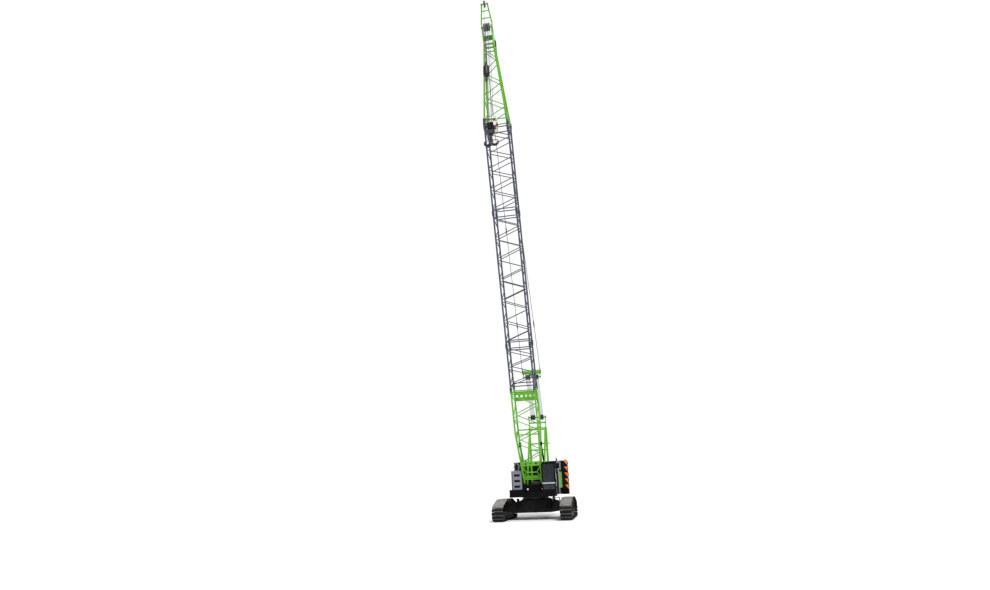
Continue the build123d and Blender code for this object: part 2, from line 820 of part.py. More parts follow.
def cab_door():
    """Door leaf with its window opening."""
    x0, x1, y0, y1, z0, z1 = cab_limits()
    d0, d1, e0, e1 = door_limits()
    leaf = box(x1 - CAB_WALL, x1, d0 + 10, d1 - 6, e0 + 6, e1 - 6)
    window = box(x1 - CAB_WALL - 10, x1 + 10, d0 + 90, d1 - 90, e0 + 620, e1 - 90)
    lower = box(x1 - CAB_WALL - 10, x1 + 10, d0 + 90, d1 - 90, e0 + 120, e0 + 520)
    handle = box(x1 - 5, x1 + 40, d0 + 40, d0 + 70, e0 + 480, e0 + 700)
    pieces = [leaf.cut(window, lower), handle]
    x, y = hinge_axis()
    bores = []
    for z in hinge_heights():
        pieces.append(box(x1 - 1, x + 6, d1 - 80, d1 - 6, z - 30, z + 30))
        pieces.append(rod((x, y, z - 30), (x, y, z + 30), HINGE_PIN_R + 11))
        bores.append(rod((x, y, z - 40), (x, y, z + 40), HINGE_PIN_R + SEAT))
    return joined(pieces).cut(*bores)


def cab_door_glass():
    """Panes of the door."""
    x0, x1, y0, y1, z0, z1 = cab_limits()
    d0, d1, e0, e1 = door_limits()
    x = x1 - CAB_WALL / 2
    upper = box(x - 6, x + 6, d0 + 90 + SEAT, d1 - 90 - SEAT, e0 + 620 + SEAT, e1 - 90 - SEAT)
    lower = box(x - 6, x + 6, d0 + 90 + SEAT, d1 - 90 - SEAT, e0 + 120 + SEAT, e0 + 520 - SEAT)
    return group([upper, lower])


def grab_post():
    """Pale grab rail and boarding step behind the cab."""
    x0, x1, y0, y1, z0, z1 = cab_limits()
    y = y1 + 240
    top = HOUSE_TOP + 330
    face = DECK_HALF + SEAT
    post = bar((face + 110, y, DECK_TOP - 160), (face + 110, y, top), 24, 10)
    arm = bar((face, y, HOUSE_TOP - 120), (face + 110, y, HOUSE_TOP - 120), 20, 8)
    step = box(face, face + 260, y - 160, y + 160, DECK_TOP - 190, DECK_TOP - 150)
    return joined([post, arm, step])


def lamps():
    """Work lamps on the deck's front, marker lamps and the red lamps."""
    pieces = []
    for x, y in ((-350, DECK_FRONT + 5), (CAB_INNER_X - 70, DECK_FRONT - 115)):
        stalk = box(x - 20, x + 20, y + 30, y + 70, DECK_TOP + SEAT, DECK_TOP + 160)
        pieces.append(joined([stalk, box(x - 60, x + 60, y, y + 95, DECK_TOP + 150, DECK_TOP + 270)]))
    x = -DECK_HALF - SEAT
    z = DECK_BOTTOM + 80
    pieces.append(box(x - 30, x, DECK_FRONT - 100, DECK_FRONT - 20, z, z + 80))
    x = CW_HALF - 120
    pieces.append(rod((x, DECK_REAR + 160, CW_TOP), (x, DECK_REAR + 160, CW_TOP + 110), 45))
    z = DECK_TOP + 0.635 * (GANTRY_Z - DECK_TOP)
    pieces.append(rod((GANTRY_HALF + 70 + SEAT, GANTRY_Y, z), (GANTRY_HALF + 260, GANTRY_Y, z), 35))
    return group(pieces)


def exhaust():
    """Silencer and pipe on the right house."""
    x = -HOUSE_INNER - 350
    y = DECK_REAR - 900
    can = rod((x, y - 350, HOUSE_TOP + 150 + SEAT), (x, y + 350, HOUSE_TOP + 150 + SEAT), 150)
    pipe = bar((x, y + 220, HOUSE_TOP + 200), (x, y + 220, HOUSE_TOP + 620), 60, 16)
    return joined([can, pipe])


def mirror():
    """Mirror on an arm at the cab's front corner."""
    x0, x1, y0, y1, z0, z1 = cab_limits()
    arm = rod((x1 + SEAT, y0 + 290, z1 - 250), (x1 + 200, y0 + 290, z1 - 250), 14)
    glass = box(x1 + 110, x1 + 290, y0 + 245, y0 + 280, z1 - 390, z1 - 60)
    return joined([arm, glass])


# Boom


def boom_half(s):
    """Half width between chord centres at a place along the boom."""
    if s < BASE_LENGTH:
        return FOOT_HALF + (BOOM_HALF - FOOT_HALF) * min(1.0, s / BASE_TAPER)
    if s > BOOM_LENGTH - TIP_LENGTH:
        share = (s - BOOM_LENGTH + TIP_LENGTH) / (TIP_LENGTH - 1100)
        return BOOM_HALF + (TIP_HALF - BOOM_HALF) * min(share, 1.0)
    return BOOM_HALF


def boom_depth(s):
    """Half depth between chord centres at a place along the boom."""
    if s < BASE_LENGTH:
        return FOOT_DEEP + (BOOM_DEEP - FOOT_DEEP) * min(1.0, (s - 350) / (BASE_TAPER - 350))
    if s > BOOM_LENGTH - TIP_LENGTH:
        share = (s - BOOM_LENGTH + TIP_LENGTH) / (TIP_LENGTH - 1100)
        return BOOM_DEEP + (TIP_HALF - BOOM_DEEP) * min(share, 1.0)
    return BOOM_DEEP


FACES = [((-1, -1), (1, -1)), ((-1, 1), (1, 1)), ((-1, -1), (-1, 1)), ((1, -1), (1, 1))]


def chord_point(corner, s):
    """Centre of one chord; corner is its side and its front or back."""
    return boom_point(corner[0] * boom_half(s), corner[1] * boom_depth(s), s)


def lattice(s0, s1, cuts, inset0, inset1):
    """Chords, end frames and zigzag bracing between two places along the boom."""
    pieces = []
    stops = [s0] + cuts + [s1]
    for a in (-1, 1):
        for b in (-1, 1):
            for i in range(len(stops) - 1):
                start = chord_point((a, b), stops[i])
                pieces.append(bar(start, chord_point((a, b), stops[i + 1]), CHORD_R, 8))
    low = s0 + inset0
    high = s1 - inset1
    bays = max(2, 2 * round((high - low) / BAY))
    step = (high - low) / bays
    for start, end in FACES:
        for s in (low, high):
            pieces.append(bar(chord_point(start, s), chord_point(end, s), BRACE_R + 6, BRACE_SIDES))
        for i in range(bays):
            first = start if i % 2 == 0 else end
            second = end if i % 2 == 0 else start
            foot = low + i * step + 60
            head = low + (i + 1) * step - 60
            pieces.append(bar(chord_point(first, foot), chord_point(second, head), BRACE_R, BRACE_SIDES))
    return pieces


def boom_base():
    """Base section: feet, chords that spread from them, bracing and the perforated cross plate."""
    pieces = lattice(350.0, BASE_LENGTH + 40, [BASE_TAPER], 900.0, END_INSET + 40)
    for side in (-1, 1):
        x = side * FOOT_HALF
        wire = Wire.make_polygon(
            [
                boom_point(x - 55, -130, 0),
                boom_point(x - 55, -70, -115),
                boom_point(x - 55, 70, -115),
                boom_point(x - 55, 130, 0),
                boom_point(x - 55, 190, 420),
                boom_point(x - 55, -190, 420),
            ]
        )
        pieces.append(Solid.extrude(Face(wire), Vector(110, 0, 0)))
    for b in (-1, 1):
        for s in (260.0, 400.0):
            pieces.append(bar(chord_point((-1, b), s), chord_point((1, b), s), BRACE_R + 10, 6))
    s = BASE_TAPER - 130
    for start, end in FACES:
        pieces.append(bar(chord_point(start, s), chord_point(end, s), BRACE_R + 10, 6))
    mid = 760.0
    deep = -boom_depth(mid)
    inner = 0.56 * boom_half(mid)
    pieces.append(bar(boom_point(-inner - 20, deep, mid), boom_point(inner + 20, deep, mid), BRACE_R + 6, 6))
    for side in (-1, 1):
        knee = boom_point(side * inner, deep, mid)
        for s in (440.0, 1220.0):
            pieces.append(bar(knee, chord_point((side, -1), s), BRACE_R, 6))
    pieces.append(base_plate())
    pieces.append(foot_plate())
    body = joined(pieces)
    bore = rod((-FOOT_HALF - 100, FOOT_Y, FOOT_Z), (FOOT_HALF + 100, FOOT_Y, FOOT_Z), FOOT_PIN_R + 3)
    return body.cut(bore, slab(BASE_LENGTH, BASE_LENGTH + 200))


def slab(s0, s1):
    """Block across the boom, to trim a section's ends square."""
    wide = BOOM_HALF + 4 * CHORD_R
    corners = ((-wide, -wide), (wide, -wide), (wide, wide), (-wide, wide))
    wire = Wire.make_polygon([boom_point(x, n, s0) for x, n in corners])
    along = Vector(*boom_point(0, 0, 1)) - Vector(*boom_point(0, 0, 0))
    return Solid.extrude(Face(wire), along * (s1 - s0))


def base_plate():
    """Perforated cross plate on the back of the base section, under its top joint."""
    s0 = BASE_LENGTH - END_INSET - 740
    s1 = BASE_LENGTH - END_INSET - 60
    half = BOOM_HALF - 20
    n = BOOM_DEEP - 15
    corners = ((-half, s0), (half, s0), (half, s1), (-half, s1))
    wire = Wire.make_polygon([boom_point(x, n, s) for x, s in corners])
    back = Vector(*boom_point(0, 1, 0)) - Vector(*boom_point(0, 0, 0))
    plate = Solid.extrude(Face(wire), back * 30)
    holes = []
    for i in range(5):
        x = half * (-0.8 + 0.4 * i)
        holes.append(bar(boom_point(x, n - 40, (s0 + s1) / 2), boom_point(x, n + 80, (s0 + s1) / 2), 90, 16))
    return plate.cut(*holes)


def foot_plate():
    """Cross plate with three holes on the front of the base section, above its foot bracing."""
    s0 = 1260.0
    s1 = 1540.0
    mid = (s0 + s1) / 2
    half = boom_half(mid) - 10
    n = -boom_depth(mid) - 15
    corners = ((-half, s0), (half, s0), (half, s1), (-half, s1))
    wire = Wire.make_polygon([boom_point(x, n, s) for x, s in corners])
    back = Vector(*boom_point(0, 1, 0)) - Vector(*boom_point(0, 0, 0))
    plate = Solid.extrude(Face(wire), back * 30)
    holes = []
    for i in range(3):
        x = half * (-0.55 + 0.55 * i)
        holes.append(bar(boom_point(x, n - 40, mid), boom_point(x, n + 80, mid), 90, 16))
    return plate.cut(*holes)


def boom_insert(s0, length):
    """Straight insert section."""
    return joined(lattice(s0 + SEAT, s0 + length, [], END_INSET, END_INSET))


def boom_insert_short():
    """Short insert above the base."""
    return boom_insert(BASE_LENGTH, SHORT_LENGTH)


def boom_insert_long():
    """Long insert."""
    return boom_insert(BASE_LENGTH + SHORT_LENGTH, LONG_LENGTH)


def boom_insert_mid():
    """Middle-length insert below the tip."""
    return boom_insert(BASE_LENGTH + SHORT_LENGTH + LONG_LENGTH, MID_LENGTH)


def boom_tip():
    """Tip section: chords that draw together, head plates, and a cross plate with a round hole."""
    s0 = BOOM_LENGTH - TIP_LENGTH + SEAT
    neck = BOOM_LENGTH - 1100
    pieces = lattice(s0 - 40, neck, [], END_INSET + 40, 200.0)
    for side in (-1, 1):
        x = side * TIP_HALF
        outline = [
            (-TIP_HALF - 60, neck - 200),
            (TIP_HALF + 60, neck - 200),
            (TIP_HALF + 40, BOOM_LENGTH - 260),
            (-TIP_HALF + 60, BOOM_LENGTH + 200),
            (-HEAD_OFFSET - 130, BOOM_LENGTH + 140),
            (-HEAD_OFFSET - 130, BOOM_LENGTH - 140),
        ]
        wire = Wire.make_polygon([boom_point(x - 30, n, s) for n, s in outline])
        pieces.append(Solid.extrude(Face(wire), Vector(60, 0, 0)))
    for n, s in ((TIP_HALF - 20, neck + 700), (-TIP_HALF + 20, neck + 60), (TIP_HALF - 20, neck + 60)):
        pieces.append(bar(boom_point(-TIP_HALF, n, s), boom_point(TIP_HALF, n, s), 60, 8))
    n = -0.62 * TIP_HALF
    low = neck + 340
    high = neck + 680
    corners = ((-TIP_HALF, low), (TIP_HALF, low), (TIP_HALF, high), (-TIP_HALF, high))
    wire = Wire.make_polygon([boom_point(x, n, s) for x, s in corners])
    back = Vector(*boom_point(0, 1, 0)) - Vector(*boom_point(0, 0, 0))
    pieces.append(Solid.extrude(Face(wire), back * 30))
    s = neck + 40
    corners = ((-TIP_HALF, -TIP_HALF), (TIP_HALF, -TIP_HALF), (TIP_HALF, TIP_HALF), (-TIP_HALF, TIP_HALF))
    wire = Wire.make_polygon([boom_point(x, n, s) for x, n in corners])
    along = Vector(*boom_point(0, 0, 1)) - Vector(*boom_point(0, 0, 0))
    eye = bar(boom_point(0, 0, s - 40), boom_point(0, 0, s + 80), 0.76 * TIP_HALF, 24)
    pieces.append(Solid.extrude(Face(wire), along * 40) - eye)
    body = joined(pieces)
    x, y, z = head_axis()
    bore = disc(-TIP_HALF - 90, TIP_HALF + 90, y, z, 50 + SEAT)
    return body.cut(bore, slab(s0 - 200, s0))


def head_axis():
    """Centre of the head sheaves."""
    return boom_point(0, -HEAD_OFFSET, BOOM_LENGTH)


def runner_axis():
    """Centre of the runner's sheave."""
    return boom_point(0, -HEAD_OFFSET, BOOM_LENGTH + RUNNER_LENGTH)


def head_shaft():
    """Shaft through the head plates."""
    x, y, z = head_axis()
    return rod((-TIP_HALF - 80, y, z), (TIP_HALF + 80, y, z), 50)


HEAD_XS = (-150.0, 0.0, 150.0)


def head_sheaves():
    """Main hoist sheaves on the head shaft."""
    x, y, z = head_axis()
    return sheave_row(HEAD_XS, y, z, HEAD_SHEAVE_R, (50 + SEAT) / BORE_FLAT)


def runner():
    """Two arms beyond the head that draw together to the runner's axle, with cross bars between them."""
    pieces = []
    wide = TIP_HALF + 30 + SEAT + 15
    narrow = SHEAVE_WIDTH / 2 + 155
    low = BOOM_LENGTH + 290
    high = BOOM_LENGTH + RUNNER_LENGTH
    for side in (-1, 1):
        outline = [
            (-HEAD_OFFSET + 330, BOOM_LENGTH - 330),
            (-HEAD_OFFSET + 420, BOOM_LENGTH - 180),
            (-HEAD_OFFSET + 250, low + 40),
            (-HEAD_OFFSET + 90, low + 40),
            (-HEAD_OFFSET + 110, BOOM_LENGTH + 140),
        ]
        wire = Wire.make_polygon([boom_point(side * wide - 15, n, s) for n, s in outline])
        pieces.append(Solid.extrude(Face(wire), Vector(30, 0, 0)))
        root = boom_point(side * wide, -HEAD_OFFSET + 170, low)
        pieces.append(bar(root, boom_point(side * narrow, -HEAD_OFFSET, high), 45, 8))
        x, y, z = runner_axis()
        pieces.append(disc(side * narrow - 25, side * narrow + 25, y, z, 95, 12))
    for share in (0.3, 0.66):
        s = low + share * (high - low)
        x = wide + share * (narrow - wide)
        n = -HEAD_OFFSET + 170 * (1 - share)
        pieces.append(bar(boom_point(-x, n, s), boom_point(x, n, s), 36, 6))
    end = narrow + 70
    pieces.append(rod(boom_point(-end, -HEAD_OFFSET, high), boom_point(end, -HEAD_OFFSET, high), 40))
    return joined(pieces)


def runner_sheave():
    """Single sheave of the runner."""
    x, y, z = runner_axis()
    return sheave_row((0.0,), y, z, RUNNER_SHEAVE_R, (40 + SEAT) / BORE_FLAT)


# Luffing rig


def stay_points():
    """Gantry axis, bridle axis and the pendants' upper pins, as (y, z), with the stay's direction."""
    top = boom_point(0, TIP_HALF + 60, BOOM_LENGTH - 650)
    dy = top[1] - GANTRY_Y
    dz = top[2] - GANTRY_Z
    length = math.hypot(dy, dz)
    uy = dy / length
    uz = dz / length
    bridle = (GANTRY_Y + BRIDLE_REACH * uy, GANTRY_Z + BRIDLE_REACH * uz)
    return bridle, (top[1], top[2]), (uy, uz)


def stay_point(x, along, up):
    """Point along the stay from the bridle's axis, and up from the stay line."""
    (by, bz), top, (uy, uz) = stay_points()
    return (x, by + along * uy + up * uz, bz + along * uz - up * uy)


def stay_turn():
    """Angle of the line square to the stay, from the rear upwards."""
    bridle_place, top, (uy, uz) = stay_points()
    return math.atan2(-uy, uz)


BRIDLE_HALF = GANTRY_HALF


def bridle():
    """Spreader beam with cheek plates over the bridle sheaves."""
    pieces = []
    start = stay_point(-BRIDLE_HALF - 25, RIG_SHEAVE_R + 190, 0)
    end = stay_point(BRIDLE_HALF + 25, RIG_SHEAVE_R + 190, 0)
    pieces.append(bar(start, end, 160, 4))
    for x in (-BRIDLE_HALF, 0, BRIDLE_HALF):
        outline = [(-110, -90), (-110, 90), (RIG_SHEAVE_R + 270, 130), (RIG_SHEAVE_R + 270, -130)]
        wire = Wire.make_polygon([stay_point(x - 25, a, u) for a, u in outline])
        pieces.append(Solid.extrude(Face(wire), Vector(50, 0, 0)))
    pieces.append(bar(stay_point(-BRIDLE_HALF - 60, 0, 0), stay_point(BRIDLE_HALF + 60, 0, 0), 45, 12))
    return joined(pieces)


def bridle_sheaves():
    """Luffing sheaves of the bridle."""
    x, y, z = stay_point(0, 0, 0)
    return sheave_row(RIG_XS, y, z, RIG_SHEAVE_R, 45 + SEAT, stay_turn())


def pendants():
    """Two pendant lines from the bridle to the boom tip, with socket links at their ends."""
    (by, bz), top, (uy, uz) = stay_points()
    reach = math.hypot(top[0] - by, top[1] - bz)
    pieces = []
    for side in (-1, 1):
        x0 = side * (BRIDLE_HALF + 25 + SEAT + 20)
        x1 = side * (TIP_HALF + 30 + SEAT + 20)
        low = stay_point(x0, RIG_SHEAVE_R + 120, 0)
        high = stay_point(x1, reach, 0)
        pieces.append(bar(low, high, 20, 6))
        for point, share in ((low, 0.0), (high, 1.0)):
            y = point[1]
            z = point[2]
            pieces.append(box(point[0] - 20, point[0] + 20, y - 70, y + 70, z - 70, z + 70))
    return group([joined(pieces[0:3]), joined(pieces[3:6])])


def luff_falls():
    """Luffing ropes between the gantry's sheaves and the bridle's."""
    pieces = []
    up = RIG_SHEAVE_R + ROPE_R + SEAT
    for x in RIG_XS:
        for way in (-1, 1):
            pieces.append(bar(stay_point(x, -BRIDLE_REACH, way * up), stay_point(x, 0, way * up), ROPE_R, 12))
    return group(pieces)


def backstops():
    """Two struts on the boom's back that meet the deck when the boom stands steep."""
    pieces = []
    for side in (-1, 1):
        s = 2500.0
        x = side * boom_half(s)
        n = boom_depth(s)
        low = boom_point(x, n + 650, s - 1400)
        strut = bar(boom_point(x, n + 20, s), low, 60, 8)
        collar = bar(chord_point((side, 1), s - 130), chord_point((side, 1), s + 130), CHORD_R + 35, 8)
        chord = bar(chord_point((side, 1), s - 400), chord_point((side, 1), s + 400), CHORD_R + SEAT, 8)
        pieces.append(joined([collar, strut]) - chord)
    return group(pieces)


# Hooks


def main_falls():
    """Main hoist ropes from the head sheaves to the block."""
    x, y, z = head_axis()
    pieces = []
    for dx in HEAD_XS:
        for way in (-1, 1):
            off = way * (HEAD_SHEAVE_R + ROPE_R + SEAT)
            pieces.append(bar((dx, y + off, z), (dx, y + off, z - MAIN_DROP), ROPE_R, 12))
    return group(pieces)


def hook_block():
    """Two cheek weights with rounded shoulders and the spacers between them."""
    x, y, z = head_axis()
    zc = z - MAIN_DROP
    pieces = []
    for side in (-1, 1):
        x0 = side * 260
        x1 = side * 400
        outline = [
            (y - 300, zc - 420),
            (y + 300, zc - 420),
            (y + 440, zc - 120),
            (y + 440, zc + 320),
            (y + 250, zc + 520),
            (y - 250, zc + 520),
            (y - 440, zc + 320),
            (y - 440, zc - 120),
        ]
        pieces.append(plate_yz(outline, min(x0, x1), max(x0, x1)))
    pieces.append(bar((-390, y, zc), (390, y, zc), 50, 12))
    pieces.append(box(-270, 270, y - 130, y + 130, zc - 560, zc - 330))
    return joined(pieces)


def block_sheaves():
    """Sheaves inside the block."""
    x, y, z = head_axis()
    return sheave_row(HEAD_XS, y, z - MAIN_DROP, BLOCK_SHEAVE_R, 50 + SEAT)


def arc_points(y, z, r, a0, a1, count):
    """Points on an arc, angles in degrees."""
    points = []
    for i in range(count + 1):
        a = math.radians(a0 + (a1 - a0) * i / count)
        points.append((y + r * math.cos(a), z + r * math.sin(a)))
    return points


def main_hook():
    """Two-horned forged hook under the block."""
    x, y, z = head_axis()
    zc = z - MAIN_DROP - 560 - SEAT
    shank = rod((0, y, zc - 330), (0, y, zc), 85)
    nut = rod((0, y, zc - 90), (0, y, zc), 150)
    outline = [(-90, zc - 300), (-90, zc - 560)]
    outline += arc_points(-230, zc - 610, 130, 20, -160, 8)
    outline += [(-395, zc - 520), (-345, zc - 430), (-470, zc - 480), (-520, zc - 640)]
    outline += arc_points(-260, zc - 640, 260, 180, 270, 6)
    outline += arc_points(260, zc - 640, 260, 270, 360, 6)
    outline += [(520, zc - 640), (470, zc - 480), (345, zc - 430), (395, zc - 520)]
    outline += arc_points(230, zc - 610, 130, 340, 160, 8)
    outline += [(90, zc - 560), (90, zc - 300)]
    horns = plate_xz(outline, y - 85, y + 85)
    return joined([horns, shank, nut])


def aux_fall():
    """Single rope from the runner's sheave to the ball."""
    x, y, z = runner_axis()
    off = y - RUNNER_SHEAVE_R - ROPE_R - SEAT
    return bar((0, off, z), (0, off, z - AUX_DROP), ROPE_R, 12)


def turned_weight(y, z, rows):
    """Turned weight in flats: a stack of tapered rings, each row a height under z and a radius."""
    sections = []
    for drop, r in rows:
        plane = Plane(origin=(0, y, z - drop))
        sections.append(plane * RegularPolygon(r, 16))
    return loft(sections, ruled=True)


def aux_ball():
    """Long rounded weight with its socket and a single hook."""
    x, y, z = runner_axis()
    yc = y - RUNNER_SHEAVE_R - ROPE_R - SEAT
    zc = z - AUX_DROP - SEAT
    socket = bar((0, yc, zc - 330), (0, yc, zc), 60, 16)
    rows = ((290, 80), (370, 165), (460, 200), (970, 200), (1060, 165), (1140, 80))
    weight = turned_weight(yc, zc, rows)
    neck = bar((0, yc, zc - 1230), (0, yc, zc - 1120), 45, 12)
    outline = arc_points(yc, zc - 1360, 165, 100, -190, 16)
    outline += arc_points(yc, zc - 1340, 85, -190, 100, 12)
    hook = plate_yz(outline, -40, 40)
    return joined([socket, weight, neck, hook])


NODES = {
    "carbody": carbody,
    "slew_ring": slew_ring,
    "lashing_eyes": lashing_eyes,
    "upper_frame": upper_frame,
    "foot_pins": foot_pins,
    "house_right": house_right,
    "engine_block": engine_block,
    "house_left": house_left,
    "side_panel": side_panel,
    "hood_front": hood_front,
    "deck_box": deck_box,
    "counterweight_base": counterweight_base,
    "counterweight_slabs": counterweight_slabs,
    "gantry_posts": gantry_posts,
    "gantry_struts": gantry_struts,
    "gantry_head": gantry_head,
    "gantry_sheaves": gantry_sheaves,
    "winch_drums": winch_drums,
    "winch_stands": winch_stands,
    "cab_shell": cab_shell,
    "cab_glass": cab_glass,
    "cab_seat": cab_seat,
    "cab_console": cab_console,
    "cab_door": cab_door,
    "cab_door_glass": cab_door_glass,
    "grab_post": grab_post,
    "lamps": lamps,
    "exhaust": exhaust,
    "mirror": mirror,
    "boom_base": boom_base,
    "boom_insert_short": boom_insert_short,
    "boom_insert_long": boom_insert_long,
    "boom_insert_mid": boom_insert_mid,
    "boom_tip": boom_tip,
    "head_shaft": head_shaft,
    "head_sheaves": head_sheaves,
    "runner": runner,
    "runner_sheave": runner_sheave,
    "bridle": bridle,
    "bridle_sheaves": bridle_sheaves,
    "pendants": pendants,
    "luff_falls": luff_falls,
    "backstops": backstops,
    "main_falls": main_falls,
    "hook_block": hook_block,
    "block_sheaves": block_sheaves,
    "main_hook": main_hook,
    "aux_fall": aux_fall,
    "aux_ball": aux_ball,
}

os.makedirs("parts", exist_ok=True)
for name, make in NODES.items():
    export_step(make(), "parts/" + name + ".step")
for name, side in (("left", 1), ("right", -1)):
    export_step(track(side), "parts/track_" + name + ".step")
    export_step(track_frame(side), "parts/track_frame_" + name + ".step")
    export_step(running_gear(side), "parts/running_gear_" + name + ".step")
    export_step(final_drive(side), "parts/final_drive_" + name + ".step")
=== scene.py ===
"""Looks of the crawler crane: smooth bars, shoes, wheels, ropes, hooks, fittings and painted finishes.

Metres, in the frame of the solids: +Z up, the machine faces -Y and its cab is on +X.
"""

import json
import logging
import math
from dataclasses import dataclass, field
from enum import Enum
from typing import Dict, List, Optional, Sequence, Tuple

import bmesh
import bpy
import numpy as np
from mathutils import Matrix


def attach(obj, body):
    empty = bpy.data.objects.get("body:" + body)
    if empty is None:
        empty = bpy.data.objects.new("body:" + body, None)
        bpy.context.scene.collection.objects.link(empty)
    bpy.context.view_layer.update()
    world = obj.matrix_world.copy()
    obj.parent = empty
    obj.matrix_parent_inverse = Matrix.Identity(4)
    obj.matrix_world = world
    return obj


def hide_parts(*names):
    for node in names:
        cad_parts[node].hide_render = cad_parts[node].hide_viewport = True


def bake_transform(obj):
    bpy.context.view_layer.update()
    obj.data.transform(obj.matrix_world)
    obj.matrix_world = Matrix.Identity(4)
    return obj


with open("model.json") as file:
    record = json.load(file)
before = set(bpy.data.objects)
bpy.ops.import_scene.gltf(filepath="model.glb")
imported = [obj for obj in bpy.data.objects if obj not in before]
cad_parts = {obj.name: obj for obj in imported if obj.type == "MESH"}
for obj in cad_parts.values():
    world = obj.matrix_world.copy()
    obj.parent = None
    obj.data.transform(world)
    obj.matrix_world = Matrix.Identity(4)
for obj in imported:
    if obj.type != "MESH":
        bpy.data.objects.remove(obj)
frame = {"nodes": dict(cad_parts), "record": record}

LOG = logging.getLogger("crane")
Array = np.ndarray
Rgb = Tuple[float, float, float]
Point = Tuple[float, float, float]
Vec = Sequence[float]
Values = Dict[object, object]
Socket = bpy.types.NodeSocket

# Smallest gap between a piece and the solid that it stands on.
CLEAR = 0.0003


# Surfaces


@dataclass
class Surface:
    """Points and faces of a surface, kept as whole arrays."""

    points: Array
    faces: List[Array]

    @staticmethod
    def join(parts: Sequence["Surface"]) -> "Surface":
        """Puts several surfaces into one list of points.

        Args:
            parts: the surfaces.

        Returns:
            One surface, with the faces' numbers moved on.
        """
        sizes = np.cumsum([0] + [len(p.points) for p in parts])
        faces = [f + n for p, n in zip(parts, sizes[:-1]) for f in p.faces]
        return Surface(np.concatenate([p.points for p in parts]), faces)


def unit(v: Array) -> Array:
    """Vectors scaled to length one along the last axis."""
    v = np.asarray(v, float)
    return v / np.linalg.norm(v, axis=-1, keepdims=True)


def across(axis: Array) -> Tuple[Array, Array]:
    """Two directions square to each axis.

    Args:
        axis: unit vectors, one per row.

    Returns:
        The two directions, square to the axis and to each other.
    """
    helper = np.where(np.abs(axis[:, 2:3]) < 0.9, [[0.0, 0.0, 1.0]], [[1.0, 0.0, 0.0]])
    first = unit(np.cross(helper, axis))
    return first, np.cross(axis, first)


def turns(count: int) -> Array:
    """Angles evenly round one full turn."""
    return 2 * math.pi * np.arange(count) / count


def turned(
    profile: Array,
    centres: Array,
    axis: Vec,
    sides: int = 32,
    closed: bool = False,
    teeth: int = 0,
    depth: float = 0.0,
) -> Surface:
    """Turned pieces: point = centre + t*axis + r*(cos a*e1 + sin a*e2) for each (t, r) of the profile.

    Args:
        profile: rows of (t, r).
        centres: one centre per piece.
        axis: direction of the turning axis, one for all or one per piece.
        sides: steps round the axis.
        closed: True where the profile is a loop, as on a wheel with a bore.
        teeth: waves round the rim, which take r down by depth in the gaps.
        depth: share of r that the gaps lose.

    Returns:
        All the pieces as one surface.
    """
    profile = np.asarray(profile, float)
    centres = np.asarray(centres, float).reshape(-1, 3)
    ax = unit(np.broadcast_to(np.asarray(axis, float), centres.shape))
    e1, e2 = across(ax)
    a = turns(sides)
    swing = np.cos(a)[None, :, None] * e1[:, None] + np.sin(a)[None, :, None] * e2[:, None]
    rim = 1.0 - depth * (np.cos(teeth * a) < -0.15) if teeth else np.ones(sides)
    size = profile[:, 1][:, None]
    r = size * np.where(size > 0.7 * size.max(), rim[None], 1.0)
    points = (
        centres[:, None, None]
        + profile[None, :, 0, None, None] * ax[:, None, None]
        + r[None, :, :, None] * swing[:, None]
    )
    count, rows = len(centres), len(profile)
    base = (np.arange(count) * rows * sides)[:, None, None]
    p = np.arange(rows if closed else rows - 1)[:, None]
    s = np.arange(sides)[None]
    q, n = (p + 1) % rows, (s + 1) % sides
    quad = np.stack([p * sides + s, p * sides + n, q * sides + n, q * sides + s], -1).reshape(1, -1, 4)
    faces = [(base + quad).reshape(-1, 4)]
    if not closed:
        ends = np.stack([np.arange(sides)[::-1], (rows - 1) * sides + np.arange(sides)])
        faces.append((base + ends[None]).reshape(-1, sides))
    return Surface(points.reshape(-1, 3), faces)


def tubes(starts: Array, ends: Array, radii: Array, sides: int = 12) -> Surface:
    """Straight round bars, all at once: point = end + r*(cos a*e1 + sin a*e2).

    Args:
        starts: one end of each bar.
        ends: the other end of each bar.
        radii: radius of each bar, or one for all.
        sides: steps round a bar.

    Returns:
        All the bars as one surface, with closed ends.
    """
    starts = np.asarray(starts, float).reshape(-1, 3)
    ends = np.asarray(ends, float).reshape(-1, 3)
    radii = np.broadcast_to(np.asarray(radii, float), (len(starts),))
    e1, e2 = across(unit(ends - starts))
    a = turns(sides)
    swing = np.cos(a)[None, :, None] * e1[:, None] + np.sin(a)[None, :, None] * e2[:, None]
    off = radii[:, None, None] * swing
    points = np.stack([starts[:, None] + off, ends[:, None] + off], 1)
    base = (np.arange(len(starts)) * 2 * sides)[:, None, None]
    s = np.arange(sides)
    n = (s + 1) % sides
    quad = np.stack([s, n, n + sides, s + sides], -1)[None]
    caps = np.stack([s[::-1], s + sides])[None]
    return Surface(points.reshape(-1, 3), [(base + quad).reshape(-1, 4), (base + caps).reshape(-1, sides)])


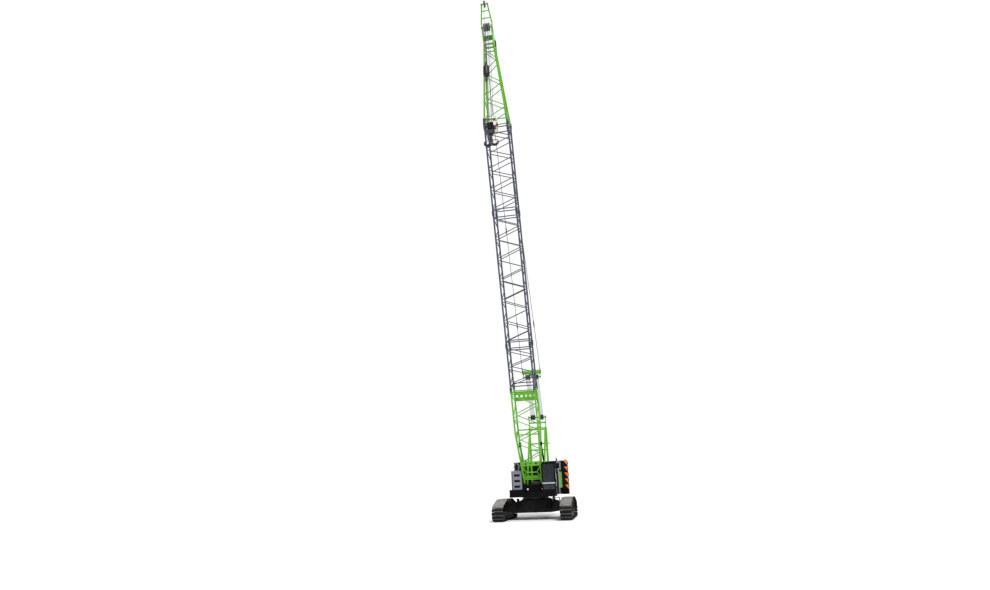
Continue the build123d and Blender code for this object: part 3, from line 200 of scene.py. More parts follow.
def carried(path: Array, profile: Array, scale: Array, up: Vec, loop: bool = False) -> Surface:
    """A closed profile carried along a path: point = path + a*scale*side + b*scale*lift.

    The side is square to the path and to up, and the lift is square to both.

    Args:
        path: points along the way.
        profile: rows of (a, b) round the section.
        scale: size of the section at each point of the path, one number or a pair each.
        up: direction that the lift stays near.
        loop: True where the path closes on itself.

    Returns:
        The surface, with closed ends where the path is open.
    """
    path = np.asarray(path, float)
    profile = np.asarray(profile, float)
    scale = np.asarray(scale, float)
    if scale.shape == (len(path),):
        scale = scale[:, None]
    scale = np.broadcast_to(scale, (len(path), 2))
    if loop:
        way = unit(np.roll(path, -1, 0) - np.roll(path, 1, 0))
    else:
        way = unit(np.gradient(path, axis=0))
    side = unit(np.cross(way, np.asarray(up, float)))
    lift = np.cross(side, way)
    points = (
        path[:, None]
        + (profile[None, :, 0] * scale[:, :1])[..., None] * side[:, None]
        + (profile[None, :, 1] * scale[:, 1:])[..., None] * lift[:, None]
    )
    rows, m = len(path), len(profile)
    p = np.arange(rows if loop else rows - 1)[:, None]
    s = np.arange(m)[None]
    q, n = (p + 1) % rows, (s + 1) % m
    faces = [np.stack([p * m + s, p * m + n, q * m + n, q * m + s], -1).reshape(-1, 4)]
    if not loop:
        faces.append(np.stack([np.arange(m)[::-1], (rows - 1) * m + np.arange(m)]))
    return Surface(points.reshape(-1, 3), faces)


def plates(outline: Array, origins: Array, u: Vec, v: Vec, thick: float) -> Surface:
    """Flat plates of one outline: point = origin + a*u + b*v, carried by thick along u x v.

    Args:
        outline: rows of (a, b) round the plate.
        origins: one place per plate.
        u: direction of a.
        v: direction of b.
        thick: thickness, towards u x v.

    Returns:
        All the plates as one surface.
    """
    outline = np.asarray(outline, float)
    origins = np.asarray(origins, float).reshape(-1, 3)
    u, v = unit(u), unit(v)
    flat = outline[:, :1] * u + outline[:, 1:] * v
    rise = np.cross(u, v) * thick
    points = np.stack([origins[:, None] + flat[None], origins[:, None] + flat[None] + rise], 1)
    m = len(outline)
    base = (np.arange(len(origins)) * 2 * m)[:, None, None]
    s = np.arange(m)
    n = (s + 1) % m
    quad = np.stack([s, n, n + m, s + m], -1)[None]
    caps = np.stack([s[::-1], s + m])[None]
    return Surface(points.reshape(-1, 3), [(base + quad).reshape(-1, 4), (base + caps).reshape(-1, m)])


def blocks(lows: Array, highs: Array) -> Surface:
    """Blocks between low and high corners, whose edges a Bevel rounds later.

    Args:
        lows: low corner of each block.
        highs: high corner of each block.

    Returns:
        All the blocks as one surface.
    """
    lows = np.asarray(lows, float).reshape(-1, 3)
    highs = np.asarray(highs, float).reshape(-1, 3)
    pick = np.array([[x, y, z] for z in (0, 1) for y in (0, 1) for x in (0, 1)])
    points = np.where(pick[None], highs[:, None], lows[:, None])
    quad = np.array([[0, 2, 3, 1], [4, 5, 7, 6], [0, 1, 5, 4], [2, 6, 7, 3], [0, 4, 6, 2], [1, 3, 7, 5]])
    base = (np.arange(len(lows)) * 8)[:, None, None]
    return Surface(points.reshape(-1, 3), [(base + quad[None]).reshape(-1, 4)])


def rounded(width: float, height: float, radius: float, steps: int = 4) -> Array:
    """Outline of a centred rectangle with round corners: corner + r*(cos a, sin a), a quarter turn each."""
    a = np.linspace(0, math.pi / 2, steps)[None] + (np.arange(4) * math.pi / 2)[:, None]
    way = np.array([[1, 1], [-1, 1], [-1, -1], [1, -1]], float)
    core = way * [width / 2 - radius, height / 2 - radius]
    return (core[:, None] + radius * np.stack([np.cos(a), np.sin(a)], -1)).reshape(-1, 2)


def oval(width: float, height: float, sides: int = 16, power: float = 2.0) -> Array:
    """Outline of a superellipse: (w*|cos a|^(2/p)*sign, h*|sin a|^(2/p)*sign)."""
    a = turns(sides)
    c, s = np.cos(a), np.sin(a)
    k = 2.0 / power
    return np.stack([width * np.sign(c) * np.abs(c) ** k, height * np.sign(s) * np.abs(s) ** k], -1)


def row(start: Vec, end: Vec, count: int) -> Array:
    """Points evenly from start to end."""
    return np.linspace(np.asarray(start, float), np.asarray(end, float), count)


def coords(x: object, y: object, z: object) -> Array:
    """Points from their coordinates, each a number for all or one number per point."""
    return np.stack(np.broadcast_arrays(x, y, z), -1)


def ring_points(x: float, y: float, z: float, radius: float, count: int) -> Array:
    """Points on a circle round the X axis: (x, y + r*cos a, z + r*sin a)."""
    a = turns(count)
    return coords(x, y + radius * np.cos(a), z + radius * np.sin(a))


def mirrored(half: Sequence[Vec], middle: Sequence[Vec] = ()) -> Array:
    """Profile of (t, r) rows, then its middle rows, then the mirror image (-t, r) in reverse order."""
    rows = np.array(half, float)
    return np.concatenate([rows, np.reshape(middle, (-1, 2)), rows[::-1] * [-1.0, 1.0]])


def bolt_heads(points: Array, axis: Vec, radius: float, height: float) -> Surface:
    """Six-sided heads with a washer under each, standing along the axis."""
    washer = radius * 1.45
    profile = [(0, washer), (height * 0.25, washer), (height * 0.26, radius), (height, radius * 0.94)]
    return turned(np.array(profile), points, axis, 6)


def grip(start: Vec, end: Vec, out: Vec, radius: float) -> Surface:
    """Bent handle: a round section carried along start + (end - start)*t + out*(1 - |2t - 1|^8)."""
    t = (1.0 - np.cos(np.linspace(0, math.pi, 28))[:, None]) / 2
    start, end, out = (np.asarray(v, float) for v in (start, end, out))
    path = start + (end - start) * t + out * (1.0 - np.abs(2 * t - 1) ** 8)
    return carried(path, oval(1, 1, 10), radius, np.cross(end - start, out))


# Finishes


def linear(rgb: Rgb) -> Tuple[float, float, float, float]:
    """Screen colour of 0 to 255 as linear light with alpha."""
    c = np.asarray(rgb, float) / 255.0
    out = np.where(c <= 0.04045, c / 12.92, ((c + 0.055) / 1.055) ** 2.4)
    return (float(out[0]), float(out[1]), float(out[2]), 1.0)


class Nodes:
    """Short way to add and join nodes in one tree."""

    def __init__(self, tree: bpy.types.NodeTree) -> None:
        """Keeps the tree."""
        self.tree = tree

    def add(self, kind: str, values: Optional[Values] = None, **settings: object) -> bpy.types.Node:
        """Adds a node.

        Args:
            kind: the node's type.
            values: inputs by name or number, each a value or a socket to join.
            settings: properties of the node.

        Returns:
            The node.
        """
        node = self.tree.nodes.new(kind)
        for name, value in settings.items():
            setattr(node, name, value)
        self.fill(node, values or {})
        return node

    def fill(self, node: bpy.types.Node, values: Values) -> None:
        """Sets inputs of a node by name or number, each to a value or to a socket that is joined to it."""
        for key, value in values.items():
            if isinstance(value, Socket):
                self.tree.links.new(value, node.inputs[key])
            else:
                node.inputs[key].default_value = value

    def math(self, kind: str, a: object, b: object = 0.0, c: object = 0.0) -> Socket:
        """Result of a Math node."""
        return self.add("ShaderNodeMath", {0: a, 1: b, 2: c}, operation=kind).outputs[0]

    def mix(self, share: object, a: object, b: object) -> Socket:
        """Colour between a and b."""
        return self.add("ShaderNodeMix", {0: share, 6: a, 7: b}, data_type="RGBA").outputs[2]

    def noise(self, place: object, scale: object, detail: float = 4.0) -> Socket:
        """Value of a noise at a place."""
        values = {"Vector": place, "Scale": scale, "Detail": detail}
        return self.add("ShaderNodeTexNoise", values).outputs[0]

    def span(self, value: object, low: object, high: object) -> Socket:
        """Value taken from low..high to 0..1 and clamped."""
        return self.add("ShaderNodeMapRange", {0: value, 1: low, 2: high}).outputs[0]

    def spread(self, place: object, scale: Vec) -> Socket:
        """Place stretched along its axes."""
        return self.add("ShaderNodeMapping", {"Vector": place, "Scale": scale}).outputs[0]

    def wave(self, place: object, scale: float, way: str, distortion: float = 0.0) -> Socket:
        """Value of a wave of bands at a place."""
        values = {"Vector": place, "Scale": scale, "Distortion": distortion}
        return self.add("ShaderNodeTexWave", values, bands_direction=way).outputs["Fac"]

    def place(self) -> Socket:
        """Object coordinates."""
        return self.add("ShaderNodeTexCoord").outputs["Object"]

    def split(self, vector: Socket) -> Sequence[Socket]:
        """The three parts of a vector."""
        return self.add("ShaderNodeSeparateXYZ", {0: vector}).outputs

    def facing(self) -> Socket:
        """How far a face looks up: the normal's z."""
        return self.split(self.add("ShaderNodeNewGeometry").outputs["Normal"])[2]

    def bump(self, height: object, strength: float, distance: float) -> Socket:
        """Normal bent by a height."""
        values = {"Height": height, "Strength": strength, "Distance": distance}
        return self.add("ShaderNodeBump", values).outputs[0]


def group_tree(name: str, ins: Sequence[Tuple[str, str, object]], outs: Sequence[Tuple[str, str]]) -> Tuple:
    """New node group with its sockets.

    Args:
        name: the group's name.
        ins: name, socket type and default of each input.
        outs: name and socket type of each output.

    Returns:
        The tree, a Nodes helper, the sockets of its inputs and the output node.
    """
    tree = bpy.data.node_groups.new(name, "ShaderNodeTree")
    for label, kind, default in ins:
        socket = tree.interface.new_socket(label, in_out="INPUT", socket_type=kind)
        socket.default_value = default
    for label, kind in outs:
        tree.interface.new_socket(label, in_out="OUTPUT", socket_type=kind)
    kit = Nodes(tree)
    return tree, kit, kit.add("NodeGroupInput").outputs, kit.add("NodeGroupOutput")


FLOAT = "NodeSocketFloat"
COLOUR = "NodeSocketColor"


def weather_group() -> bpy.types.NodeTree:
    """Paint that varies: slow tone drift, rain streaks, dust low down and on top faces, and a fine skin."""
    tree, kit, gin, gout = group_tree(
        "weathered_coat",
        [
            ("Paint", COLOUR, (0.5, 0.5, 0.5, 1)),
            ("Dust", COLOUR, (0.30, 0.27, 0.22, 1)),
            ("Dust Amount", FLOAT, 0.3),
            ("Dust Height", FLOAT, 1.5),
            ("Tone", FLOAT, 0.12),
            ("Gloss Roughness", FLOAT, 0.35),
            ("Skin Scale", FLOAT, 60.0),
        ],
        [("Color", COLOUR), ("Roughness", FLOAT), ("Height", FLOAT)],
    )
    place = kit.place()
    drift = kit.noise(place, 0.9, 3.0)
    streak = kit.span(kit.noise(kit.spread(place, (7.0, 7.0, 0.45)), 1.0, 5.0), 0.52, 0.78)
    speck = kit.span(kit.noise(place, 26.0, 6.0), 0.55, 0.75)
    height = kit.split(place)[2]
    low = kit.span(height, gin["Dust Height"], 0.0)
    cover = kit.math("MULTIPLY_ADD", low, kit.noise(place, 3.2, 6.0), kit.math("MULTIPLY", streak, 0.16))
    cover = kit.math("MULTIPLY_ADD", speck, 0.07, cover)
    upward = kit.span(kit.facing(), 0.7, 1.0)
    top_dust_and_light = kit.math("MULTIPLY", upward, kit.span(kit.noise(place, 2.1, 7.0), 0.3, 0.75))
    cover = kit.math("MULTIPLY_ADD", top_dust_and_light, 0.9, cover)
    mask = kit.math("MULTIPLY", cover, gin["Dust Amount"])
    mask = kit.add("ShaderNodeClamp", {0: mask}).outputs[0]
    fade = kit.math("MULTIPLY", kit.math("SUBTRACT", 0.62, drift), gin["Tone"])
    dim = kit.math("SUBTRACT", 1.0, fade)
    toned = kit.add("ShaderNodeVectorMath", {0: gin["Paint"], "Scale": dim}, operation="SCALE").outputs[0]
    colour = kit.mix(mask, toned, gin["Dust"])
    rough = kit.math("MULTIPLY_ADD", mask, 0.45, gin["Gloss Roughness"])
    rough = kit.math("MULTIPLY_ADD", kit.math("SUBTRACT", drift, 0.5), 0.3, rough)
    skin = kit.math("MULTIPLY_ADD", speck, 0.4, kit.noise(place, gin["Skin Scale"], 2.0))
    kit.fill(gout, {"Color": colour, "Roughness": rough, "Height": skin})
    return tree


def band_group() -> bpy.types.NodeTree:
    """Slanting bands: 1 where the fraction of (x*Across + y*Along + z*Rise) / Pitch is under Share."""
    tree, kit, gin, gout = group_tree(
        "slanting_bands",
        [
            ("Across", FLOAT, 1.0),
            ("Along", FLOAT, 0.0),
            ("Rise", FLOAT, 1.0),
            ("Pitch", FLOAT, 0.4),
            ("Share", FLOAT, 0.5),
        ],
        [("Mask", FLOAT)],
    )
    place = kit.place()
    xyz = kit.split(place)
    total = kit.math("MULTIPLY", xyz[0], gin["Across"])
    total = kit.math("MULTIPLY_ADD", xyz[1], gin["Along"], total)
    total = kit.math("MULTIPLY_ADD", xyz[2], gin["Rise"], total)
    turn = kit.math("FRACT", kit.math("DIVIDE", total, gin["Pitch"]))
    kit.fill(gout, {"Mask": kit.math("LESS_THAN", turn, gin["Share"])})
    return tree


def scuff_group() -> bpy.types.NodeTree:
    """Wear where the piece's own wear value is high, broken up by a noise."""
    tree, kit, gin, gout = group_tree(
        "rubbed_edges",
        [("Amount", FLOAT, 1.0), ("Scale", FLOAT, 18.0)],
        [("Mask", FLOAT)],
    )
    place = kit.place()
    wear = kit.add("ShaderNodeAttribute", attribute_name="wear").outputs["Fac"]
    broken = kit.math("MULTIPLY_ADD", kit.noise(place, gin["Scale"], 6.0), 0.9, wear)
    mask = kit.math("MULTIPLY", kit.span(broken, 0.75, 1.25), gin["Amount"])
    kit.fill(gout, {"Mask": mask})
    return tree


class Effect(Enum):
    """Shared effects, each one node group."""

    WEATHER = "weathered_coat"
    BANDS = "slanting_bands"
    SCUFF = "rubbed_edges"

    def tree(self) -> bpy.types.NodeTree:
        """The effect's group, made when it is first asked for."""
        makers = {Effect.WEATHER: weather_group, Effect.BANDS: band_group, Effect.SCUFF: scuff_group}
        return bpy.data.node_groups.get(self.value) or makers[self]()


def place_group(kit: Nodes, effect: Effect, values: Values) -> bpy.types.Node:
    """Adds an effect's group to a material.

    Args:
        kit: helper of the material's tree.
        effect: which effect.
        values: its inputs.

    Returns:
        The group's node.
    """
    return kit.add("ShaderNodeGroup", values, node_tree=effect.tree())


@dataclass(frozen=True)
class Finish:
    """A finish, made into a material once."""

    name: str
    rgb: Rgb

    def material(self) -> bpy.types.Material:
        """The material, made with its main shader when it is first asked for."""
        mat = bpy.data.materials.get(self.name)
        if mat is None:
            mat = bpy.data.materials.new(self.name)
            mat.use_nodes = True
            mat.node_tree.nodes.clear()
            kit = Nodes(mat.node_tree)
            out = kit.add("ShaderNodeOutputMaterial")
            bsdf = kit.add("ShaderNodeBsdfPrincipled")
            kit.fill(out, {0: bsdf.outputs[0]})
            kit.fill(bsdf, self.looks(kit))
        return mat

    def looks(self, kit: Nodes) -> Values:
        """Inputs of the main shader."""
        raise NotImplementedError


@dataclass(frozen=True)
class Enamel(Finish):
    """Sprayed enamel with dust and streaks."""

    gloss: float = 0.32
    dust: float = 0.35
    dust_height: float = 1.6
    tone: float = 0.25
    coat: float = 0.25
    specular: float = 0.5

    def base(self, kit: Nodes, paint: object) -> bpy.types.Node:
        """The weathered coat over a paint colour."""
        values = {
            "Paint": paint,
            "Dust Amount": self.dust,
            "Dust Height": self.dust_height,
            "Tone": self.tone,
            "Gloss Roughness": self.gloss,
        }
        return place_group(kit, Effect.WEATHER, values)

    def paint(self, kit: Nodes) -> object:
        """Colour under the weather."""
        return linear(self.rgb)

    def looks(self, kit: Nodes) -> Values:
        """Weathered paint on the main shader, with a thin clear coat."""
        coat = self.base(kit, self.paint(kit)).outputs
        return {
            "Base Color": coat["Color"],
            "Roughness": coat["Roughness"],
            "Coat Weight": self.coat,
            "Specular IOR Level": self.specular,
            "Coat Roughness": 0.25,
            "Normal": kit.bump(coat["Height"], 0.08, 0.002),
        }


@dataclass(frozen=True)
class BandedEnamel(Enamel):
    """Enamel with bands of a second paint inside a box, or wedges of it that widen with x."""

    second: Rgb = (240, 120, 40)
    slant: Point = (1.0, 0.0, 1.0)
    pitch: float = 0.4
    share: float = 0.5
    fan: bool = False
    low: Point = (-99.0, -99.0, -99.0)
    high: Point = (99.0, 99.0, 99.0)

    def paint(self, kit: Nodes) -> object:
        """First paint, and the second where a band crosses the box."""
        place = kit.place()
        xyz = kit.split(place)
        share = self.share
        if self.fan:
            share = kit.math("MULTIPLY", kit.span(xyz[0], self.low[0], self.high[0]), self.share)
        values = {
            "Across": self.slant[0],
            "Along": self.slant[1],
            "Rise": self.slant[2],
            "Pitch": self.pitch,
            "Share": share,
        }
        mask = place_group(kit, Effect.BANDS, values).outputs["Mask"]
        for i in range(3):
            mask = kit.math("MULTIPLY", mask, kit.math("GREATER_THAN", xyz[i], self.low[i]))
            mask = kit.math("MULTIPLY", mask, kit.math("LESS_THAN", xyz[i], self.high[i]))
        return kit.mix(mask, linear(self.rgb), linear(self.second))


@dataclass(frozen=True)
class ChippedEnamel(Enamel):
    """Enamel on a rounded edge, chipped in places."""

    chip: Rgb = (120, 118, 112)
    chips: float = 0.6

    def paint(self, kit: Nodes) -> object:
        """Paint, and the bare edge where a fine noise is high."""
        place = kit.place()
        mask = kit.span(kit.noise(place, 9.0, 9.0), 0.54, 0.62)
        return kit.mix(kit.math("MULTIPLY", mask, self.chips), linear(self.rgb), linear(self.chip))


@dataclass(frozen=True)
class WornMetal(Finish):
    """Bare or cast metal: dark skin with earth on it, bright where it is rubbed, and, where asked, pale on
    upward faces high up as painted top light, partly dust.
    """

    bright: Rgb = (190, 186, 178)
    earth: Rgb = (128, 116, 98)
    metal: float = 0.75
    rough: float = 0.5
    earth_share: float = 0.35
    rub: float = 0.8
    # Share of the pale mix on upward faces high up: painted top light, partly dust.
    top_dust_and_light: float = 0.0
    specular: float = 0.5

    def looks(self, kit: Nodes) -> Values:
        """Three tones mixed by noise and wear, with a cast bump, and a pale mix on upward faces high up that
        paints top light, partly dust.
        """
        place = kit.place()
        patch = kit.span(kit.noise(place, 4.0, 8.0), 0.42, 0.72)
        patch = kit.math("MULTIPLY", patch, self.earth_share)
        base = kit.mix(patch, linear(self.rgb), linear(self.earth))
        # Upward faces above about 0.7 m turn towards the bright colour: painted top light, partly dust lying
        # there, which also makes them rougher and less metallic.
        if self.top_dust_and_light > 0:
            upward = kit.span(kit.facing(), 0.62, 0.97)
            top = kit.math("MULTIPLY", upward, kit.span(kit.noise(place, 13.0, 8.0), 0.2, 0.54))
            height = kit.split(place)[2]
            top = kit.math("MULTIPLY", top, kit.span(height, 0.7, 1.1))
            patch = kit.math("MAXIMUM", patch, kit.math("MULTIPLY", top, self.top_dust_and_light))
            base = kit.mix(kit.math("MULTIPLY", top, self.top_dust_and_light), base, linear(self.bright))
        rub = place_group(kit, Effect.SCUFF, {"Amount": self.rub}).outputs["Mask"]
        colour = kit.mix(rub, base, linear(self.bright))
        rough = kit.math("MULTIPLY_ADD", rub, -0.18, kit.math("MULTIPLY_ADD", patch, 0.3, self.rough))
        metal = kit.math("MULTIPLY", kit.math("SUBTRACT", 1.0, patch), self.metal)
        grain = kit.math("ADD", kit.noise(place, 45.0, 5.0), kit.noise(place, 7.0, 3.0))
        return {
            "Base Color": colour,
            "Roughness": rough,
            "Metallic": metal,
            "Specular IOR Level": self.specular,
            "Normal": kit.bump(grain, 0.25, 0.004),
        }


@dataclass(frozen=True)
class TintedGlass(Finish):
    """Cab glass, tinted, with a thin film of dust."""

    def looks(self, kit: Nodes) -> Values:
        """Clear shader with a dusty base colour and roughness."""
        place = kit.place()
        height = kit.split(place)[2]
        film = kit.math("MULTIPLY", kit.span(kit.noise(place, 2.5, 6.0), 0.5, 0.8), 0.2)
        film = kit.math("MULTIPLY_ADD", kit.span(height, 3.2, 2.5), 0.22, film)
        tint = kit.mix(kit.span(height, 2.2, 2.4), linear((26, 27, 30)), linear(self.rgb))
        tint = kit.mix(film, tint, linear((150, 156, 166)))
        return {
            "Base Color": tint,
            "Roughness": kit.math("MULTIPLY_ADD", film, 0.08, 0.01),
            "Transmission Weight": 0.9,
            "IOR": 1.42,
        }


@dataclass(frozen=True)
class WireRope(Finish):
    """Greased wire rope with its strands as slanting ridges."""

    def looks(self, kit: Nodes) -> Values:
        """Bands across the rope for colour and bump."""
        place = kit.place()
        ridge = kit.wave(place, 14.0, "DIAGONAL", 0.6)
        return {
            "Base Color": kit.mix(ridge, linear((28, 28, 30)), linear(self.rgb)),
            "Metallic": 0.7,
            "Roughness": kit.math("MULTIPLY_ADD", ridge, -0.15, 0.55),
            "Normal": kit.bump(ridge, 0.6, 0.004),
        }


@dataclass(frozen=True)
class Moulded(Finish):
    """Moulded polymer or rubber with a fine grain."""

    rough: float = 0.5
    grain: float = 120.0
    relief: float = 0.15
    mottle: float = 0.7

    def looks(self, kit: Nodes) -> Values:
        """Slightly mottled colour, even roughness and a grain bump."""
        place = kit.place()
        cloud = kit.noise(place, 5.0, 4.0)
        dark = linear(tuple(c * self.mottle for c in self.rgb))
        values = {
            "Base Color": kit.mix(cloud, dark, linear(self.rgb)),
            "Roughness": kit.math("MULTIPLY_ADD", kit.math("SUBTRACT", cloud, 0.5), 0.2, self.rough),
        }
        if self.relief > 0:
            values["Normal"] = kit.bump(kit.noise(place, self.grain, 2.0), self.relief, 0.002)
        return values


@dataclass(frozen=True)
class Woven(Finish):
    """Seat cloth: two crossed sets of threads."""

    def looks(self, kit: Nodes) -> Values:
        """Crossed waves for colour and bump, with a little sheen."""
        place = kit.place()
        weave = kit.math("MULTIPLY", kit.wave(place, 90.0, "X"), kit.wave(place, 90.0, "Z"))
        return {
            "Base Color": kit.mix(weave, linear((14, 14, 17)), linear(self.rgb)),
            "Roughness": 0.85,
            "Sheen Weight": 0.3,
            "Normal": kit.bump(weave, 0.4, 0.002),
        }


@dataclass(frozen=True)
class Lens(Finish):
    """Lamp lens with ribs and a faint glow."""

    glow: float = 0.15

    def looks(self, kit: Nodes) -> Values:
        """Ribbed coloured plastic."""
        place = kit.place()
        ribs = kit.wave(place, 30.0, "Z")
        deep = linear(tuple(c * 0.75 for c in self.rgb))
        colour = kit.mix(ribs, deep, linear(self.rgb))
        return {
            "Base Color": colour,
            "Emission Color": colour,
            "Emission Strength": self.glow,
            "Roughness": 0.12,
            "Normal": kit.bump(ribs, 0.3, 0.003),
        }


GREEN = Enamel("green_enamel", (86, 160, 6), gloss=0.34, dust=0.16, tone=0.45, coat=0.12, specular=0.3)
GREEN_EDGE = ChippedEnamel(
    "green_enamel_edges",
    (100, 172, 14),
    gloss=0.4,
    dust=0.2,
    tone=0.3,
    specular=0.3,
    chip=(66, 92, 40),
    chips=0.55,
)
INSERT = Enamel("blue_grey_enamel", (58, 64, 80), gloss=0.4, dust=0.14, coat=0.1, specular=0.35)
BLACK = Enamel("black_enamel", (8, 8, 11), gloss=0.5, dust=0.05, coat=0.12, specular=0.0)
BLACK_EDGE = ChippedEnamel(
    "black_enamel_edges",
    (11, 11, 14),
    gloss=0.5,
    dust=0.06,
    coat=0.2,
    specular=0.0,
    chip=(84, 82, 78),
    chips=0.5,
)
GREY = Enamel("hood_grey_enamel", (100, 105, 116), gloss=0.4, dust=0.25)
GREY_EDGE = ChippedEnamel("hood_grey_edges", (116, 121, 131), gloss=0.42, dust=0.2, chip=(78, 80, 86))
PALE = Enamel("pale_rail_enamel", (144, 148, 154), gloss=0.4, dust=0.2)
WEIGHT = BandedEnamel(
    "counterweight_enamel",
    (17, 17, 24),
    gloss=0.5,
    coat=0.2,
    specular=0.0,
    dust=0.05,
    second=(245, 120, 40),
    slant=(0.0, 0.0, -1.0),
    pitch=0.43,
    share=0.7,
    fan=True,
    low=(1.8, 3.0, 1.8),
    high=(2.04, 3.45, 3.95),
)
STRIPE = BandedEnamel(
    "block_enamel",
    (40, 40, 48),
    second=(236, 206, 196),
    slant=(0.0, 0.8, 1.0),
    pitch=0.42,
    share=0.5,
    low=(0.255, -99.0, -99.0),
    high=(0.42, 99.0, 99.0),
)
STEEL = WornMetal("dull_steel", (70, 70, 74), metal=0.85, rough=0.42, earth_share=0.2, rub=0.4)
PIN = WornMetal("bright_pin_steel", (120, 120, 124), metal=0.9, rough=0.32, earth_share=0.08, rub=0.4)
# Track shoes: the upward faces of the upper run turn near-white, which is painted top light, partly dust.
SHOE = WornMetal(
    "track_shoe_iron",
    (15, 15, 16),
    bright=(224, 220, 214),
    earth=(70, 66, 61),
    metal=0.1,
    rough=0.62,
    earth_share=0.1,
    rub=0.13,
    top_dust_and_light=0.95,
    specular=0.12,
)
FORGED = WornMetal("black_forged_steel", (20, 20, 23), metal=0.45, rough=0.45, earth_share=0.08, rub=0.35)
SHEAVE = Moulded("sheave_polymer", (84, 84, 97), rough=0.48)
DARK_SHEAVE = Moulded("dark_sheave_polymer", (30, 30, 35), rough=0.45)
RUBBER = Moulded("black_rubber", (15, 15, 16), rough=0.65)
TRIM = Moulded("cab_trim_plastic", (44, 45, 48), rough=0.6)
GLASS = TintedGlass("cab_glass_tint", (88, 97, 112))
ROPE = WireRope("greased_wire_rope", (120, 120, 124))
CLOTH = Woven("seat_cloth", (46, 48, 54))
CLEAR_LENS = Lens("clear_lens", (226, 226, 216))
RED_LENS = Lens("red_lens", (214, 26, 18), glow=0.35)
AMBER_LENS = Lens("amber_lens", (250, 140, 24), glow=0.35)
PALE_FLOOR = Moulded("pale_floor", (250, 250, 250), rough=0.8, relief=0.0, mottle=0.985)
MIRROR = WornMetal("mirror_glass", (190, 196, 202), metal=1.0, rough=0.05, earth_share=0.02, rub=0.0)


# Pieces


def show(name: str, data: bpy.types.ID) -> bpy.types.Object:
    """Puts data into the scene as an object at the origin."""
    obj = bpy.data.objects.new(name, data)
    bpy.context.scene.collection.objects.link(obj)
    return obj


def round_edges(obj: bpy.types.Object, width: float, degrees: float) -> bpy.types.Modifier:
    """Rounds the edges that turn by more than an angle, in two steps."""
    edge = obj.modifiers.new("round_edges", "BEVEL")
    edge.width = width
    edge.segments = 2
    edge.limit_method = "ANGLE"
    edge.angle_limit = math.radians(degrees)
    return edge


def put(
    name: str,
    parts: Sequence[Surface],
    finish: Finish,
    body: Optional[str],
    stands_for: Sequence[str] = (),
    crease: float = 35.0,
    bevel: float = 0.0,
    wear: Optional[Array] = None,
) -> bpy.types.Object:
    """body: the body it rides on, or None where it is left on no body.
        stands_for: solids that it replaces.
        crease: angle in degrees above which an edge stays sharp.
        bevel: width by which its edges are rounded.
        wear: how rubbed each point is, 0 to 1.

    Returns:
        The object.
    """
    whole = Surface.join(parts)
    mesh = bpy.data.meshes.new(name)
    mesh.from_pydata(whole.points.tolist(), [], [f for block in whole.faces for f in block.tolist()])
    if wear is not None:
        worn = mesh.attributes.new("wear", "FLOAT", "POINT")
        worn.data.foreach_set("value", np.asarray(wear, np.float32))
    work = bmesh.new()
    work.from_mesh(mesh)
    bmesh.ops.recalc_face_normals(work, faces=work.faces)
    work.to_mesh(mesh)
    work.free()
    mesh.shade_smooth()
    mesh.set_sharp_from_angle(angle=math.radians(crease))
    mesh.materials.append(finish.material())
    obj = show(name, mesh)
    if bevel > 0:
        round_edges(obj, bevel, 40)
    if body:
        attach(obj, body)
    if stands_for:
        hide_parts(*stands_for)
    LOG.info("%s: %d points, rides on %s", name, len(whole.points), body or "two bodies")
    return obj


@dataclass
class RoundedSolids:
    """Solids kept in their own form, with their sharp edges rounded and chipped along the rounding."""

    nodes: Tuple[str, ...]
    finish: Finish
    edge: Optional[Finish] = None
    width: float = 0.006

    def copy(self, node: str, body: str, slot: str) -> None:
        """Copies a solid, joins its triangles into flat faces and rounds the edges between them.

        Args:
            node: the solid.
            body: the body it rides on.
            slot: the record's slot of its finish; not used.
        """
        mesh = frame["nodes"][node].data.copy()
        mesh.name = node + "_rounded"
        work = bmesh.new()
        work.from_mesh(mesh)
        bmesh.ops.remove_doubles(work, verts=work.verts, dist=0.00002)
        bmesh.ops.dissolve_limit(work, angle_limit=math.radians(0.5), verts=work.verts, edges=work.edges)
        bmesh.ops.recalc_face_normals(work, faces=work.faces)
        work.to_mesh(mesh)
        work.free()
        mesh.shade_smooth()
        mesh.set_sharp_from_angle(angle=math.radians(32))
        mesh.materials.clear()
        mesh.materials.append(self.finish.material())
        obj = show(mesh.name, mesh)
        edge = round_edges(obj, self.width, 50)
        edge.use_clamp_overlap = False
        edge.harden_normals = True
        if self.edge:
            mesh.materials.append(self.edge.material())
            edge.material = 1
        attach(obj, body)
        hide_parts(node)
        LOG.info("%s: rounded by %.0f mm, rides on %s", node, self.width * 1000, body)

    def build(self) -> None:
        """Copies all the named solids."""
        slots = {part["node"]: part["material_slot"] for part in frame["record"]["subparts"]}
        bodies = frame["record"]["behaviour"]["bodies"]
        owner = {node: body for body, nodes in bodies.items() for node in nodes}
        for node in self.nodes:
            self.copy(node, owner[node], slots[node])


